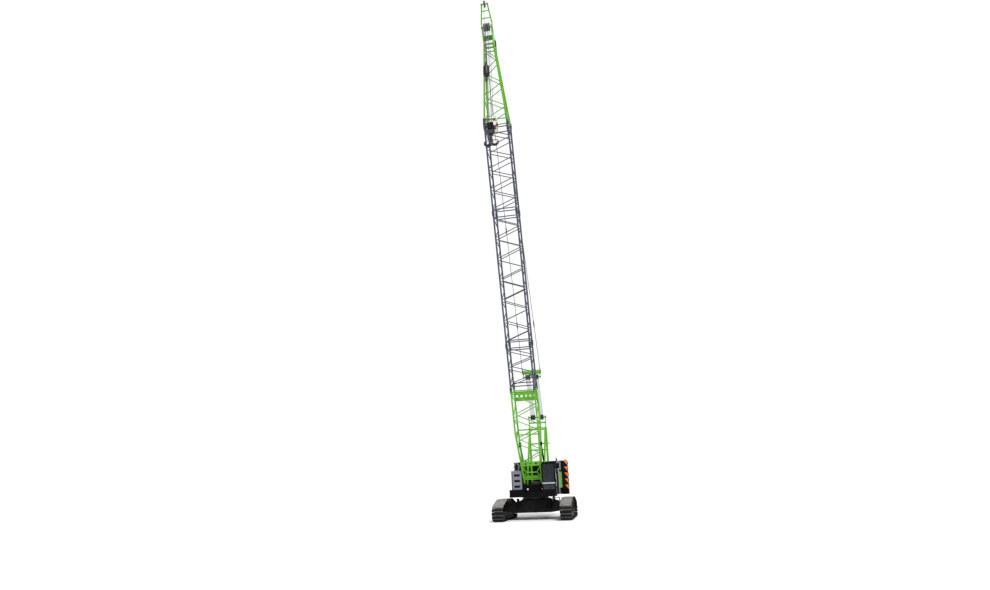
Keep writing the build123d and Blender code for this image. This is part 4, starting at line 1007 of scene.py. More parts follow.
@dataclass
class Track:
    """One track: shoes, link rails, rollers, idler, sprocket and drive."""

    side: int
    name: str
    gauge: float = 4.46
    length: float = 6.0
    top: float = 1.38
    wrap: float = 0.53
    carrier_y: float = 1.15
    shoe_width: float = 0.76
    shoe_thick: float = 0.06
    shoe_count: int = 56
    link_depth: float = 0.08
    link_width: float = 0.33
    roller_r: float = 0.125
    roller_count: int = 11
    carrier_r: float = 0.095
    frame_width: float = 0.32

    def sizes(self) -> Tuple[float, ...]:
        """Radius under the shoes, wrap centre, top run, wrap angle and length of a sloping run."""
        r = self.wrap - self.shoe_thick
        cy = self.length / 2 - self.wrap
        top = self.top - self.shoe_thick
        dy, dz = cy - self.carrier_y, top - self.wrap
        reach = math.hypot(dy, dz)
        turn = math.pi - math.atan2(dz, dy) - math.acos(r / reach) + math.pi / 2
        return r, cy, top, turn, math.sqrt(reach * reach - r * r)

    def total(self) -> float:
        """Length of the loop under the shoes."""
        r, cy, _, turn, slope = self.sizes()
        return 2 * (self.carrier_y + slope + r * turn + cy)

    def line(self, along: Array, out: Array) -> Array:
        """Points of the loop: flat run, wrap, slope, top run, slope, wrap, each a straight line or an arc.

        Args:
            along: distances round the loop.
            out: distances out from it.

        Returns:
            Points, with x on the track's middle.
        """
        r, cy, top, turn, slope = self.sizes()
        a = np.asarray(along, float) % self.total()
        out = np.broadcast_to(np.asarray(out, float), a.shape)
        m = np.cumsum([2 * cy, r * turn, slope, 2 * self.carrier_y, slope])
        lean = -math.pi / 2 - turn
        other = math.pi - lean
        w1 = -math.pi / 2 - (a - m[0]) / r
        w2 = other - (a - m[4]) / r
        back = m[4] - a
        where = [a < m[0], a < m[1], a < m[2], a < m[3], a < m[4]]
        y = np.select(
            where,
            [
                cy - a,
                -cy + (r + out) * np.cos(w1),
                -cy + (r + out) * math.cos(lean) + (a - m[1]) * math.sin(lean),
                -self.carrier_y + a - m[2],
                cy + (r + out) * math.cos(other) - back * math.sin(other),
            ],
            cy + (r + out) * np.cos(w2),
        )
        z = np.select(
            where,
            [
                self.wrap - r - out,
                self.wrap + (r + out) * np.sin(w1),
                self.wrap + (r + out) * math.sin(lean) - (a - m[1]) * math.cos(lean),
                top + out,
                self.wrap + (r + out) * math.sin(other) + back * math.cos(other),
            ],
            self.wrap + (r + out) * np.sin(w2),
        )
        return np.stack([np.full(a.shape, self.side * self.gauge / 2), y, z], -1)

    def shoes(self) -> None:
        """Shoes: a ribbed profile between two stations of the loop, carried across, with cut corners."""
        pitch = self.total() / self.shoe_count
        bar = [(-0.36, 0.022), (-0.475, 0.022), (-0.475, 0.046), (-0.45, 0.057), (-0.42, 0.06), (-0.28, 0.06)]
        rib = [(-0.22, 0.036), (-0.04, 0.034), (-0.01, 0.047), (0.1, 0.047), (0.13, 0.034)]
        lip = [(0.42, 0.031), (0.53, 0.018), (0.53, 0.004), (-0.36, 0.004)]
        t, o = np.array(bar + rib + lip).T
        i = np.arange(self.shoe_count)
        start = self.line(i * pitch, 0.0)
        end = self.line((i + 1) * pitch, 0.0)
        way = unit(end - start)
        normal = np.cross([1.0, 0.0, 0.0], way)
        away = start - [self.side * self.gauge / 2, 0, 0.7]
        normal *= np.where(np.sum(normal * away, -1, keepdims=True) > 0, 1, -1)
        mid = (start + end) / 2
        line = mid[:, None] + t[None, :, None] * pitch * way[:, None] + o[None, :, None] * normal[:, None]
        line[:, :, 2] = np.maximum(line[:, :, 2], 0.0)
        half = self.shoe_width / 2
        corner = 0.07
        x = np.array([-half, -half + corner, half - corner, half])
        drop = np.array([0.014, 0.0, 0.0, 0.014])
        points = np.repeat(line[:, None], 4, 1)
        points[:, ::3] -= (0.28 * pitch * (t - 0.03))[None, None, :, None] * way[:, None, None]
        points[..., 0] += x[None, :, None]
        share = np.minimum(o / self.shoe_thick, 1.0)
        points -= drop[None, :, None, None] * share[None, None, :, None] * normal[:, None, None]
        m = len(t)
        base = (np.arange(self.shoe_count) * 4 * m)[:, None, None]
        p, s = np.arange(3)[:, None], np.arange(m)[None]
        n = (s + 1) % m
        quad = np.stack([p * m + s, p * m + n, (p + 1) * m + n, (p + 1) * m + s], -1).reshape(1, -1, 4)
        caps = np.stack([np.arange(m)[::-1], 3 * m + np.arange(m)])[None]
        faces = [(base + quad).reshape(-1, 4), (base + caps).reshape(-1, m)]
        wear = np.broadcast_to((o > 0.055)[None, None], points.shape[:3]).reshape(-1) * 0.75
        shoes = Surface(points.reshape(-1, 3), faces)
        self.links(pitch)
        node = "track_" + self.name
        put("track_shoes_" + self.name, [shoes], SHOE, "undercarriage", [node], 25, 0, wear)

    def links(self, pitch: float) -> None:
        """Two link rails carried round the loop, with the pins between them."""
        path = self.line(np.linspace(0, self.total(), 224, endpoint=False), -self.link_depth / 2)
        section, size = rounded(1, 1, 0.2, 2), (0.08, self.link_depth * 0.98)
        rails = []
        for hand in (-1, 1):
            place = path + [hand * (self.link_width / 2 - 0.04), 0, 0]
            rails.append(carried(place, section, size, (1, 0, 0), True))
        put("track_links_" + self.name, rails + [self.pins(pitch)], STEEL, "undercarriage")

    def pins(self, pitch: float) -> Surface:
        """Link pins, one at each joint of the shoes, straight bars across both rails."""
        mid = self.line(np.arange(self.shoe_count) * pitch, -self.link_depth * 0.45)
        reach = np.array([self.link_width / 2 + 0.012, 0, 0])
        return tubes(mid - reach, mid + reach, 0.022, 8)

    def wheels(self) -> None:
        """Rollers with flanges, carrier rollers, idler and sprocket, all turned on the X axis."""
        r, cy = self.sizes()[:2]
        pitch = self.total() / self.shoe_count
        mid = self.side * self.gauge / 2
        big = (self.wrap - self.shoe_thick - self.link_depth) * math.cos(pitch / r / 2) - CLEAR
        wide, half = self.frame_width / 2 - 0.02, self.frame_width / 2 - 0.0453
        rr, cr = self.roller_r, self.carrier_r
        ys = np.linspace(-(cy - big - 0.2), cy - big - 0.2, self.roller_count)
        low = coords(mid, ys, self.shoe_thick + self.link_depth + rr + CLEAR)
        hub = [(-wide - 0.014, 0.012), (-wide - 0.014, 0.034), (-wide - 0.006, 0.046), (-wide + 0.008, 0.05)]
        web = [(-wide + 0.008, rr * 0.66), (-wide, rr * 0.74), (-wide, rr * 0.8), (-wide + 0.01, rr)]
        tread = [(-wide + 0.03, rr), (-wide + 0.04, rr * 0.84), (-0.03, rr * 0.8)]
        roller = mirrored(hub + web + tread)
        high_z = self.top - self.shoe_thick - self.link_depth - cr - CLEAR
        tops = coords(mid, np.array([-1, 0, 1]) * (self.carrier_y - 3 * cr), high_z)
        small = roller * [half / wide, cr / rr]
        hub = [(-half, 0.06), (-half, 0.12), (-half * 0.5, 0.14), (-half * 0.45, big * 0.8)]
        rim = [(-half, big * 0.86), (-half * 0.97, big * 0.985), (-half * 0.6, big)]
        idler = mirrored(hub + rim)
        parts = [turned(roller, low, (1, 0, 0), 24), turned(small, tops, (1, 0, 0), 24)]
        parts.append(turned(idler, [[mid, -cy, self.wrap]], (1, 0, 0), 48))
        parts.append(turned(idler, [[mid, cy, self.wrap]], (1, 0, 0), 96, teeth=24, depth=0.13))
        node = "running_gear_" + self.name
        put("track_wheels_" + self.name, parts, STEEL, "undercarriage", [node])
        face = mid - self.side * (self.frame_width / 2 + CLEAR)
        way = (-self.side, 0, 0)
        flange = [(0.0, 0.05), (0.0, 0.2), (0.02, 0.207), (0.1, 0.205), (0.13, 0.19), (0.17, 0.16)]
        motor = [(0.175, 0.118), (0.3, 0.118), (0.31, 0.108), (0.40, 0.104), (0.42, 0.08), (0.42, 0.03)]
        drive = flange + motor
        ring = ring_points(face - self.side * 0.118, cy, self.wrap, 0.175, 16)
        parts = [turned(drive, [[face, cy, self.wrap]], way, 40), bolt_heads(ring, way, 0.014, 0.02)]
        node = "final_drive_" + self.name
        put("travel_drive_" + self.name, parts, STEEL, "undercarriage", [node])

    def fittings(self) -> None:
        """Hub caps, bolts and ribs on the side frame's outer and inner faces."""
        cy = self.sizes()[1]
        mid = self.side * self.gauge / 2
        parts = []
        for hand in (-1, 1):
            face = mid + hand * self.frame_width / 2
            hubs = np.array([[face - hand * 0.002, -cy, self.wrap]])
            cap = [(0, 0.12), (0.02, 0.118), (0.03, 0.08), (0.05, 0.06), (0.055, 0.01)]
            parts.append(turned(cap, hubs, (hand, 0, 0), 24))
            spots = coords(face, np.linspace(-1.6, 1.6, 9), 0.46)
            parts.append(bolt_heads(spots, (hand, 0, 0), 0.018, 0.022))
            ribs = coords(face + (0 if hand > 0 else -0.012), np.linspace(-1.5, 1.5, 5) - 0.012, 0.42)
            parts.append(blocks(ribs, ribs + [0.012, 0.024, 0.28]))
        put("track_frame_fittings_" + self.name, parts, BLACK, "undercarriage", bevel=0.002)

    def build(self) -> None:
        """Makes the whole track."""
        self.shoes()
        self.wheels()
        self.fittings()


@dataclass
class Carbody:
    """Slewing ring, front cover, jacks and boarding step of the carbody."""

    ring_r: float = 0.86
    top: float = 1.31
    front: float = 1.21
    beam_top: float = 1.25
    beam_fall: float = 0.24
    jack_x: float = 1.08
    jack_z: float = 0.735
    step_box: Tuple[float, ...] = (1.24, 1.74, -1.18, -0.78, 1.37)

    def build(self) -> None:
        """Race of the slewing ring with its bolts, the cover plate at the front, jacks and step."""
        a, r = turns(48), self.ring_r + 0.035
        parts = [bolt_heads(coords(r * np.cos(a), r * np.sin(a), self.top), (0, 0, 1), 0.014, 0.03)]
        groove = [(0.05, 0.866), (0.055, 0.857), (0.062, 0.866)]
        race = np.array([(0.0, 0.70), (0.0, 0.861), *groove, (0.1095, 0.861), (0.1095, 0.70)])
        parts.append(turned(race + [CLEAR, 0.0], [[0, 0, self.top]], (0, 0, 1), 96, closed=True))
        put("slew_ring_race", parts, STEEL, "undercarriage", ["slew_ring"])
        plate = rounded(0.9, 0.42, 0.05)
        place = [[0, -self.front - 0.012, 0.86]]
        covers = [plates(plate, place, (1, 0, 0), (0, 0, 1), -0.014)]
        edge = np.array([[x, -self.front - 0.014, z] for x in (-0.4, 0.0, 0.4) for z in (0.70, 1.02)])
        covers.append(bolt_heads(edge, (0, -1, 0), 0.014, 0.014))
        put("carbody_cover", covers, BLACK, "undercarriage", bevel=0.003)
        self.jacks()
        self.step()

    def jacks(self) -> None:
        """Four upright jacks on brackets at the beams' outer faces, each a profile turned on its own axis."""
        foot = [(0.0, 0.02), (0.0, 0.12), (0.025, 0.12), (0.035, 0.055), (0.09, 0.05), (0.09, 0.085)]
        head = [(0.585, 0.108), (0.63, 0.108), (0.64, 0.06), (0.655, 0.055), (0.655, 0.01)]
        barrel = [*foot, (0.1, 0.095), (0.58, 0.095), *head]
        out = self.front + 0.125
        places = [(x, way * out) for way in (-1, 1) for x in (-self.jack_x, self.jack_x)]
        spots = np.array([[x, y, self.jack_z] for x, y in places])
        put("carbody_jacks", [turned(barrel, spots, (0, 0, 1), 28)], BLACK, "undercarriage")
        low, high = [], []
        for x, y, z in spots.tolist():
            near, far = sorted((math.copysign(self.front - 0.004, y), math.copysign(self.front + 0.2, y)))
            for rise in (0.16, 0.36):
                low.append((x - 0.14, near, z + rise))
                high.append((x + 0.14, far, z + rise + 0.03))
            for hand in (-1, 1):
                low.append((x + hand * 0.125 - 0.01, near, z + 0.1))
                high.append((x + hand * 0.125 + 0.01, far, z + 0.42))
        put("jack_brackets", [blocks(low, high)], BLACK, "undercarriage", bevel=0.004)

    def step(self) -> None:
        """Boarding step over the left beam: legs, a frame and open bars, each a straight block."""
        x0, x1, y0, y1, top = self.step_box
        legs = [(x, y) for x in (x0, x1 - 0.04) for y in (y0, y1 - 0.04)]
        low = [(x, y, self.beam_top - self.beam_fall * (x - self.ring_r)) for x, y in legs]
        high = [(x + 0.04, y + 0.04, top - 0.01) for x, y in legs]
        low += [(x0, y0, top - 0.05), (x0, y1 - 0.012, top - 0.05)]
        high += [(x1, y0 + 0.012, top), (x1, y1, top)]
        for x in np.linspace(x0, x1 - 0.012, 12).tolist():
            low.append((x, y0, top - 0.045))
            high.append((x + 0.012, y1, top - 0.003))
        put("boarding_step", [blocks(low, high)], GREY, "undercarriage")


@dataclass
class BoomLine:
    """The boom's own frame: x to the left, n behind its centre line and s up from the foot pins."""

    angle: float = 71.0
    foot_y: float = -1.15
    foot_z: float = 2.4

    def at(self, x: object, n: object, s: object) -> Array:
        """Points of the boom's frame in the crane's frame."""
        x, n, s = np.broadcast_arrays(np.asarray(x, float), np.asarray(n, float), np.asarray(s, float))
        c, k = math.cos(math.radians(self.angle)), math.sin(math.radians(self.angle))
        return np.stack([x, self.foot_y - c * s + k * n, self.foot_z + k * s + c * n], -1)

    def along(self) -> Array:
        """Direction up the boom."""
        return self.at(0, 0, 1) - self.at(0, 0, 0)

    def behind(self) -> Array:
        """Direction out of the boom's back."""
        return self.at(0, 1, 0) - self.at(0, 0, 0)


# The boom's four faces, each from one chord to another; a chord is its side, and its front or back.
FACES = (((-1, -1), (1, -1)), ((-1, 1), (1, 1)), ((-1, -1), (-1, 1)), ((1, -1), (1, 1)))


@dataclass
class LatticeBoom:
    """Five lattice sections as smooth round bars, with the pinned ears between them."""

    line: BoomLine = field(default_factory=BoomLine)
    half: float = 0.795
    deep: float = 0.66
    tip_half: float = 0.32
    foot_half: float = 0.58
    foot_deep: float = 0.13
    base: float = 6.5
    taper: float = 3.6
    inserts: Point = (3.0, 9.0, 6.0)
    tip: float = 6.5
    head: float = 1.1
    foot: float = 0.35
    knee: float = 0.76
    chord_r: float = 0.0585
    brace_r: float = 0.0305
    inset: float = 0.27
    bay: float = 1.45

    def total(self) -> float:
        """Length from the foot pins to the head."""
        return self.base + sum(self.inserts) + self.tip

    def spread(self, s: Array) -> Tuple[Array, Array]:
        """Half width and half depth between chord centres, straight lines between the tapers' ends."""
        s = np.asarray(s, float)
        marks = [0.0, self.taper, self.total() - self.tip, self.total() - self.head]
        wide = np.interp(s, marks, [self.foot_half, self.half, self.half, self.tip_half])
        marks[0] = self.foot
        deep = np.interp(s, marks, [self.foot_deep, self.deep, self.deep, self.tip_half])
        slope = (self.deep - self.foot_deep) / (self.taper - self.foot)
        return wide, np.where(s < self.foot, self.foot_deep + (s - self.foot) * slope, deep)

    def chord(self, a: int, b: int, s: Array) -> Array:
        """Points on one chord; a is its side, and b is its front or back."""
        wide, deep = self.spread(s)
        return self.line.at(a * wide, b * deep, s)

    def section(
        self, s0: float, s1: float, stops: Vec, low_in: float, high_in: float
    ) -> List[Surface]:
        """Chords, end frames and zigzag bracing of one section.

        Args:
            s0: lower end along the boom.
            s1: upper end along the boom.
            stops: places between where the chords bend.
            low_in: distance from the lower end to its frame.
            high_in: distance from the upper end to its frame.

        Returns:
            The bars.
        """
        marks = np.array([s0, *stops, s1])
        parts = []
        for a in (-1, 1):
            for b in (-1, 1):
                line = self.chord(a, b, marks)
                parts.append(tubes(line[:-1], line[1:], self.chord_r, 20))
        low, high = s0 + low_in, s1 - high_in
        bays = max(2, 2 * round((high - low) / self.bay))
        step = (high - low) / bays
        i = np.arange(bays)
        foot, head = low + i * step + 0.06, low + (i + 1) * step - 0.06
        even = (i % 2 == 0)[:, None]
        ends = np.array([low, high])
        for one, two in FACES:
            parts.append(tubes(self.chord(*one, ends), self.chord(*two, ends), self.brace_r + 0.006, 14))
            start = np.where(even, self.chord(*one, foot), self.chord(*two, foot))
            end = np.where(even, self.chord(*two, head), self.chord(*one, head))
            parts.append(tubes(start, end, self.brace_r, 12))
        return parts

    def ears(self) -> None:
        """Pinned joints: two rounded ear plates and a headed pin at each chord of each joint."""
        joints = np.cumsum([self.base, *self.inserts])
        up, back = self.line.along(), self.line.behind()
        outline = oval(0.2, 0.085, 20, 2.6)
        ears, pins = [], []
        for a in (-1, 1):
            for b in (-1, 1):
                mid = self.chord(a, b, joints)
                for x in (-0.075, 0.045):
                    ears.append(plates(outline, mid + [x, 0, 0], up, back, -0.03))
                pin = [(0.0, 0.03), (0.16, 0.03), (0.161, 0.04), (0.185, 0.038)]
                pins.append(turned(pin, mid - [0.092, 0, 0], (1, 0, 0), 16))
        put("boom_joint_ears", ears, INSERT, "boom", bevel=0.004)
        put("boom_joint_pins", pins, PIN, "boom")

    def build(self) -> None:
        """Makes the five sections and their joints."""
        top = self.total() - self.tip
        base = self.section(self.foot, self.base, [self.taper], 0.9, self.inset)
        for b in (-1, 1):
            ends = np.array([0.26, 0.40])
            base.append(tubes(self.chord(-1, b, ends), self.chord(1, b, ends), 0.041, 14))
        ring = np.array([self.taper - 0.13])
        for one, two in FACES:
            base.append(tubes(self.chord(*one, ring), self.chord(*two, ring), 0.041, 14))
        wide, deep = self.spread(np.array(self.knee))
        knees = self.line.at(np.array([-0.56, 0.56]) * wide, -deep, self.knee)
        base.append(tubes(knees[:1] - [0.02, 0, 0], knees[1:] + [0.02, 0, 0], 0.037, 14))
        for s in (0.44, 1.22):
            feet = np.stack([self.chord(-1, -1, np.array(s)), self.chord(1, -1, np.array(s))])
            base.append(tubes(knees, feet, 0.0305, 12))
        put("boom_base_bars", base, GREEN, "boom")
        starts = np.cumsum([self.base, *self.inserts])
        for node, s0, size in zip(("short", "long", "mid"), starts, self.inserts):
            bars = self.section(s0, s0 + size, [], self.inset, self.inset)
            put("boom_bars_" + node, bars, INSERT, "boom", ["boom_insert_" + node])
        tip = self.section(top, self.total() - self.head, [], self.inset, 0.2)
        put("boom_tip_bars", tip, GREEN, "boom")
        self.ears()


def sheave_profile(r: float, width: float, bore: float) -> Array:
    """Section of a rope sheave as a loop of (t, r): hub, thin web, rim and a round groove."""
    w = width / 2
    hub = [(-w, bore), (-w, bore + 0.035), (-w * 0.35, bore + 0.05), (-w * 0.3, r * 0.74)]
    rim = [(-w * 0.9, r * 0.84), (-w, r * 0.98), (-w * 0.8, r), (-w * 0.45, r * 0.92)]
    return mirrored(hub + rim, [(0.0, r * 0.895)])


@dataclass
class Rigging:
    """Sheaves, ropes and pendants between gantry, bridle, boom head and hooks."""

    line: BoomLine = field(default_factory=BoomLine)
    boom: float = 31.0
    tip_half: float = 0.32
    gantry: Tuple[float, float] = (3.05, 7.2)
    gantry_half: float = 0.64
    reach: float = 3.32
    sheave_r: float = 0.21
    head_r: float = 0.27
    runner_r: float = 0.23
    head_offset: float = 0.52
    runner: float = 1.55
    width: float = 0.09
    rope_r: float = 0.013
    main_drop: float = 7.75
    aux_drop: float = 4.915

    def rig_xs(self) -> Array:
        """Places of the luffing sheaves across the machine."""
        share = np.array([0.3, 0.5, 0.7]) * self.gantry_half
        return np.concatenate([-share, share])

    def pendant_top(self) -> Array:
        """Middle between the pendants' upper pins, at the boom's head."""
        return self.line.at(0, self.tip_half + 0.06, self.boom - 0.65)

    def stay(self) -> Tuple[Array, Array, Array]:
        """Gantry axis, the stay's direction and the direction square to it, up and forward."""
        top = self.pendant_top()
        start = np.array([0.0, *self.gantry])
        way = unit(top - start)
        return start, way, np.array([0.0, way[2], -way[1]])

    def head(self) -> Array:
        """Centre of the head sheaves."""
        return self.line.at(0, -self.head_offset, self.boom)

    def runner_axis(self) -> Array:
        """Centre of the runner's sheave."""
        return self.line.at(0, -self.head_offset, self.boom + self.runner)

    def sheaves(self) -> None:
        """All rope sheaves, turned on the X axis."""
        start, way, _ = self.stay()
        xs = self.rig_xs()[:, None] * [1.0, 0.0, 0.0]
        three = np.array([-0.15, 0.0, 0.15])[:, None] * [1.0, 0.0, 0.0]
        block = self.head() - [0, 0, self.main_drop]
        rows = (
            ("gantry_sheaves", xs + start, self.sheave_r, 0.0455, "upper", DARK_SHEAVE),
            ("bridle_sheaves", xs + start + self.reach * way, self.sheave_r, 0.0455, "boom", DARK_SHEAVE),
            ("head_sheaves", three + self.head(), self.head_r, 0.052, "main_line", SHEAVE),
            ("runner_sheave", self.runner_axis()[None], self.runner_r, 0.042, "aux_line", SHEAVE),
            ("block_sheaves", three + block, self.head_r, 0.0505, "main_hook", DARK_SHEAVE),
        )
        for node, centres, r, bore, body, finish in rows:
            disc = turned(sheave_profile(r, self.width, bore), centres, (1, 0, 0), 48, closed=True)
            put("grooved_" + node, [disc], finish, body, [node])

    def ropes(self) -> None:
        """Luffing falls, main falls and the single fall, each drawn between sheaves of two bodies and left on
        no body.
        """
        start, way, square = self.stay()
        up = self.sheave_r + self.rope_r + CLEAR
        xs = np.repeat(self.rig_xs(), 2)[:, None] * [1.0, 0.0, 0.0]
        side = np.tile([-1.0, 1.0], 6)[:, None] * square * up
        low, high = xs + side + start, xs + side + start + self.reach * way
        ropes = tubes(low, high, self.rope_r, 10)
        falls = put("luffing_ropes", [ropes], ROPE, None, ["luff_falls"])
        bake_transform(falls)
        head = self.head()
        off = self.head_r + self.rope_r + CLEAR
        spots = np.array([[x, w * off, 0.0] for x in (-0.15, 0.0, 0.15) for w in (-1, 1)]) + head
        drop = np.array([0.0, 0.0, self.main_drop])
        ropes = tubes(spots, spots - drop, self.rope_r, 10)
        main = put("main_hoist_ropes", [ropes], ROPE, None, ["main_falls"])
        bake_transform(main)
        top = self.runner_axis() - [0.0, self.runner_r + self.rope_r + CLEAR, 0.0]
        drop = np.array([0.0, 0.0, self.aux_drop])
        rope = tubes([top], [top - drop], self.rope_r, 10)
        single = put("single_hoist_rope", [rope], ROPE, None, ["aux_fall"])
        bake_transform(single)

    def pendants(self) -> None:
        """Pendant bars with forged sockets and pinned links along them."""
        start, way, _ = self.stay()
        low_at = start + (self.reach + self.sheave_r + 0.12) * way
        high_at = self.pendant_top()
        bars, links, pins = [], [], []
        for side in (-1, 1):
            low = low_at + [side * (self.gantry_half + 0.0453), 0, 0]
            high = high_at + [side * (self.tip_half + 0.0503), 0, 0]
            joints = low + np.array([0.0, 0.16, 0.46, 0.76, 1.0])[:, None] * (high - low)
            bars.append(tubes(joints[:-1], joints[1:], 0.0205, 12))
            reach = unit(high - low)
            socket = mirrored([(-0.3, 0.021), (-0.26, 0.032), (-0.1, 0.046)])
            links.append(turned(socket, joints[1:-1], reach, 16))
            ends = [(0.0, 0.05), (0.12, 0.05), (0.3, 0.036), (0.42, 0.021)]
            links.append(turned(ends, low[None], reach, 16))
            links.append(turned(ends, high[None], -reach, 16))
            flat = oval(0.11, 0.07, 20, 2.4)
            for place in (low, high):
                links.append(plates(flat, place - [0.02, 0, 0], reach, np.cross([1, 0, 0], reach), 0.04))
            both = np.array([low, high])
            pins.append(tubes(both - [0.055, 0, 0], both + [0.055, 0, 0], 0.028, 14))
        put("pendant_bars", bars, ROPE, "boom", ["pendants"])
        put("pendant_sockets", links, STEEL, "boom")
        put("pendant_pins", pins, PIN, "boom")

    def build(self) -> None:
        """Makes sheaves, ropes and pendants."""
        self.sheaves()
        self.ropes()
        self.pendants()


@dataclass
class MainHook:
    """Hook block fittings and the two-horned forged hook."""

    centre: Array

    def hook(self) -> None:
        """Shank, nut and two horns: an oval section carried round each horn and drawn down to its tip."""
        y, z = self.centre[1:]
        zc = z - 0.56 - CLEAR
        head = [(0.0, 0.1), (0.0, 0.148), (-0.02, 0.15), (-0.075, 0.15), (-0.09, 0.14)]
        nut = [*head, (-0.1, 0.09), (-0.34, 0.086), (-0.42, 0.09)]
        parts = [turned(nut, [[0, y, zc]], (0, 0, 1), 32)]
        a = np.radians(np.linspace(170, 402, 40))
        share = np.linspace(0, 1, 40)
        size = np.interp(share, [0, 0.25, 0.55, 0.8, 1.0], [0.085, 0.092, 0.078, 0.06, 0.022])
        for side in (-1, 1):
            r = 0.19 + 0.012 * np.sin(share * math.pi)
            path = coords(side * (0.235 + r * np.cos(a)), y, zc - 0.628 + r * np.sin(a))
            neck = coords(side * 0.03, y, np.linspace(zc - 0.38, zc - 0.53, 6))
            path = np.concatenate([neck, path])
            wide = np.concatenate([np.linspace(0.082, 0.085, 6), size])
            parts.append(carried(path, oval(1, 1, 18), np.stack([wide * 0.95, wide], -1), (0, 1, 0)))
        whole = Surface.join(parts)
        wear = np.clip(1.0 - np.abs(whole.points[:, 2] - (zc - 0.72)) / 0.09, 0, 1) * 0.6
        put("main_hook_forging", [whole], FORGED, "main_hook", ["main_hook"], 40, 0, wear)
        latch = []
        for side in (-1, 1):
            ends = row((side * 0.1, y, zc - 0.5), (side * 0.36, y, zc - 0.47), 2)
            flat = rounded(0.29, 0.09, 0.03)
            way = unit(ends[1] - ends[0])
            lift = np.cross([0, 1, 0], way)
            latch.append(plates(flat, ends.mean(0) - 0.004 * lift, way, (0, 1, 0), 0.008))
        put("hook_latches", latch, PIN, "main_hook", bevel=0.002)

    def block(self) -> None:
        """Shaft caps, keeper plates, guard bars and bolts on the block's cheeks."""
        y, z = self.centre[1:]
        caps, bolts = [], []
        for side in (-1, 1):
            cap = [(0, 0.12), (0.02, 0.118), (0.025, 0.075), (0.06, 0.07), (0.07, 0.02)]
            caps.append(turned(cap, [[side * 0.4, y, z]], (side, 0, 0), 28))
            bolts.append(bolt_heads(ring_points(side * 0.42, y, z, 0.098, 8), (side, 0, 0), 0.011, 0.012))
            corners = np.array([[side * 0.4, y + dy, z + dz] for dy in (-0.3, 0.3) for dz in (-0.2, 0.3)])
            bolts.append(bolt_heads(corners, (side, 0, 0), 0.02, 0.022))
        spots = np.array([[0.0, y + dy, z + dz] for dz in (0.26, -0.08) for dy in (-0.36, 0.36)])
        reach = np.array([0.262, 0.0, 0.0])
        guards = tubes(spots - reach, spots + reach, 0.022, 12)
        put("block_shaft_caps", caps, BLACK, "main_hook", bevel=0.002)
        put("block_bolts", bolts, PIN, "main_hook")
        put("block_guard_bars", [guards], BLACK, "main_hook")

    def build(self) -> None:
        """Makes the hook and dresses the block."""
        self.hook()
        self.block()


@dataclass
class BallHook:
    """Ball, swivel and single hook on the single fall."""

    top: Array

    def build(self) -> None:
        """Ball and socket turned on the rope's line, and a hook of an oval section carried round an arc."""
        y, z = self.top[1:]
        turn = np.linspace(0, math.pi / 2, 8)
        upper = np.stack([-0.455 + 0.165 * np.cos(turn), 0.062 + 0.138 * np.sin(turn)], -1)
        lower = np.stack([-0.975 - 0.165 * np.cos(turn), 0.062 + 0.138 * np.sin(turn)], -1)[::-1]
        socket = np.array([(0.0, 0.03), (-0.005, 0.05), (-0.1, 0.06), (-0.27, 0.06)])
        groove = np.array([(-0.70, 0.2), (-0.705, 0.194), (-0.725, 0.194), (-0.73, 0.2)])
        neck = np.array([(-1.15, 0.05), (-1.18, 0.05), (-1.19, 0.044), (-1.22, 0.042), (-1.24, 0.03)])
        profile = np.concatenate([socket, upper, groove, lower, neck])
        parts = [turned(profile, [[0, y, z]], (0, 0, 1), 40)]
        a = np.radians(np.linspace(98, -190, 44))
        share = np.linspace(0, 1, 44)
        mid = 0.125 - 0.004 * share
        path = coords(0.0, y + mid * np.cos(a), z - 1.352 + mid * np.sin(a))
        size = np.interp(share, [0, 0.3, 0.6, 0.85, 1.0], [0.036, 0.04, 0.039, 0.03, 0.012])
        parts.append(carried(path, oval(1, 1, 16), size, (1, 0, 0)))
        latch = row((0.0, y - 0.1, z - 1.33), (0.0, y - 0.035, z - 1.262), 2)
        flat = rounded(0.1, 0.05, 0.02)
        way = unit(latch[1] - latch[0])
        tongue = plates(flat, latch.mean(0), way, (1, 0, 0), 0.006)
        put("ball_hook_latch", [tongue], PIN, "aux_hook", bevel=0.002)
        put("ball_hook_forging", parts, FORGED, "aux_hook", ["aux_ball"], 40)


def power(value: Array, k: float) -> Array:
    """Signed power."""
    return np.sign(value) * np.abs(value) ** k


def pad(centre: Vec, half: Vec, tilt: float) -> Surface:
    """Superellipsoid: (cos u^k cos v^k, cos u^k sin v^k, sin u^k), pinched a little at its seam."""
    u = np.linspace(-math.pi / 2 + 0.02, math.pi / 2 - 0.02, 33)[:, None]
    v = np.linspace(0, 2 * math.pi, 64, endpoint=False)[None]
    k = 0.42
    pinch = 1.0 - 0.03 * np.exp(-((u / 0.09) ** 2)) + 0 * v
    px = half[0] * power(np.cos(u), k) * power(np.cos(v), k) * pinch
    py = half[1] * power(np.cos(u), k) * power(np.sin(v), k) * pinch
    pz = half[2] * power(np.sin(u), k) + 0 * v
    c, s = math.cos(tilt), math.sin(tilt)
    grid = np.stack([centre[0] + px, centre[1] + py * c + pz * s, centre[2] - py * s + pz * c], -1)
    m, n = grid.shape[:2]
    p, q = np.arange(m - 1)[:, None], np.arange(n)[None]
    w = (q + 1) % n
    quad = np.stack([p * n + q, p * n + w, (p + 1) * n + w, (p + 1) * n + q], -1).reshape(-1, 4)
    ends = np.stack([np.arange(n)[::-1], (m - 1) * n + np.arange(n)])
    return Surface(grid.reshape(-1, 3), [quad, ends])


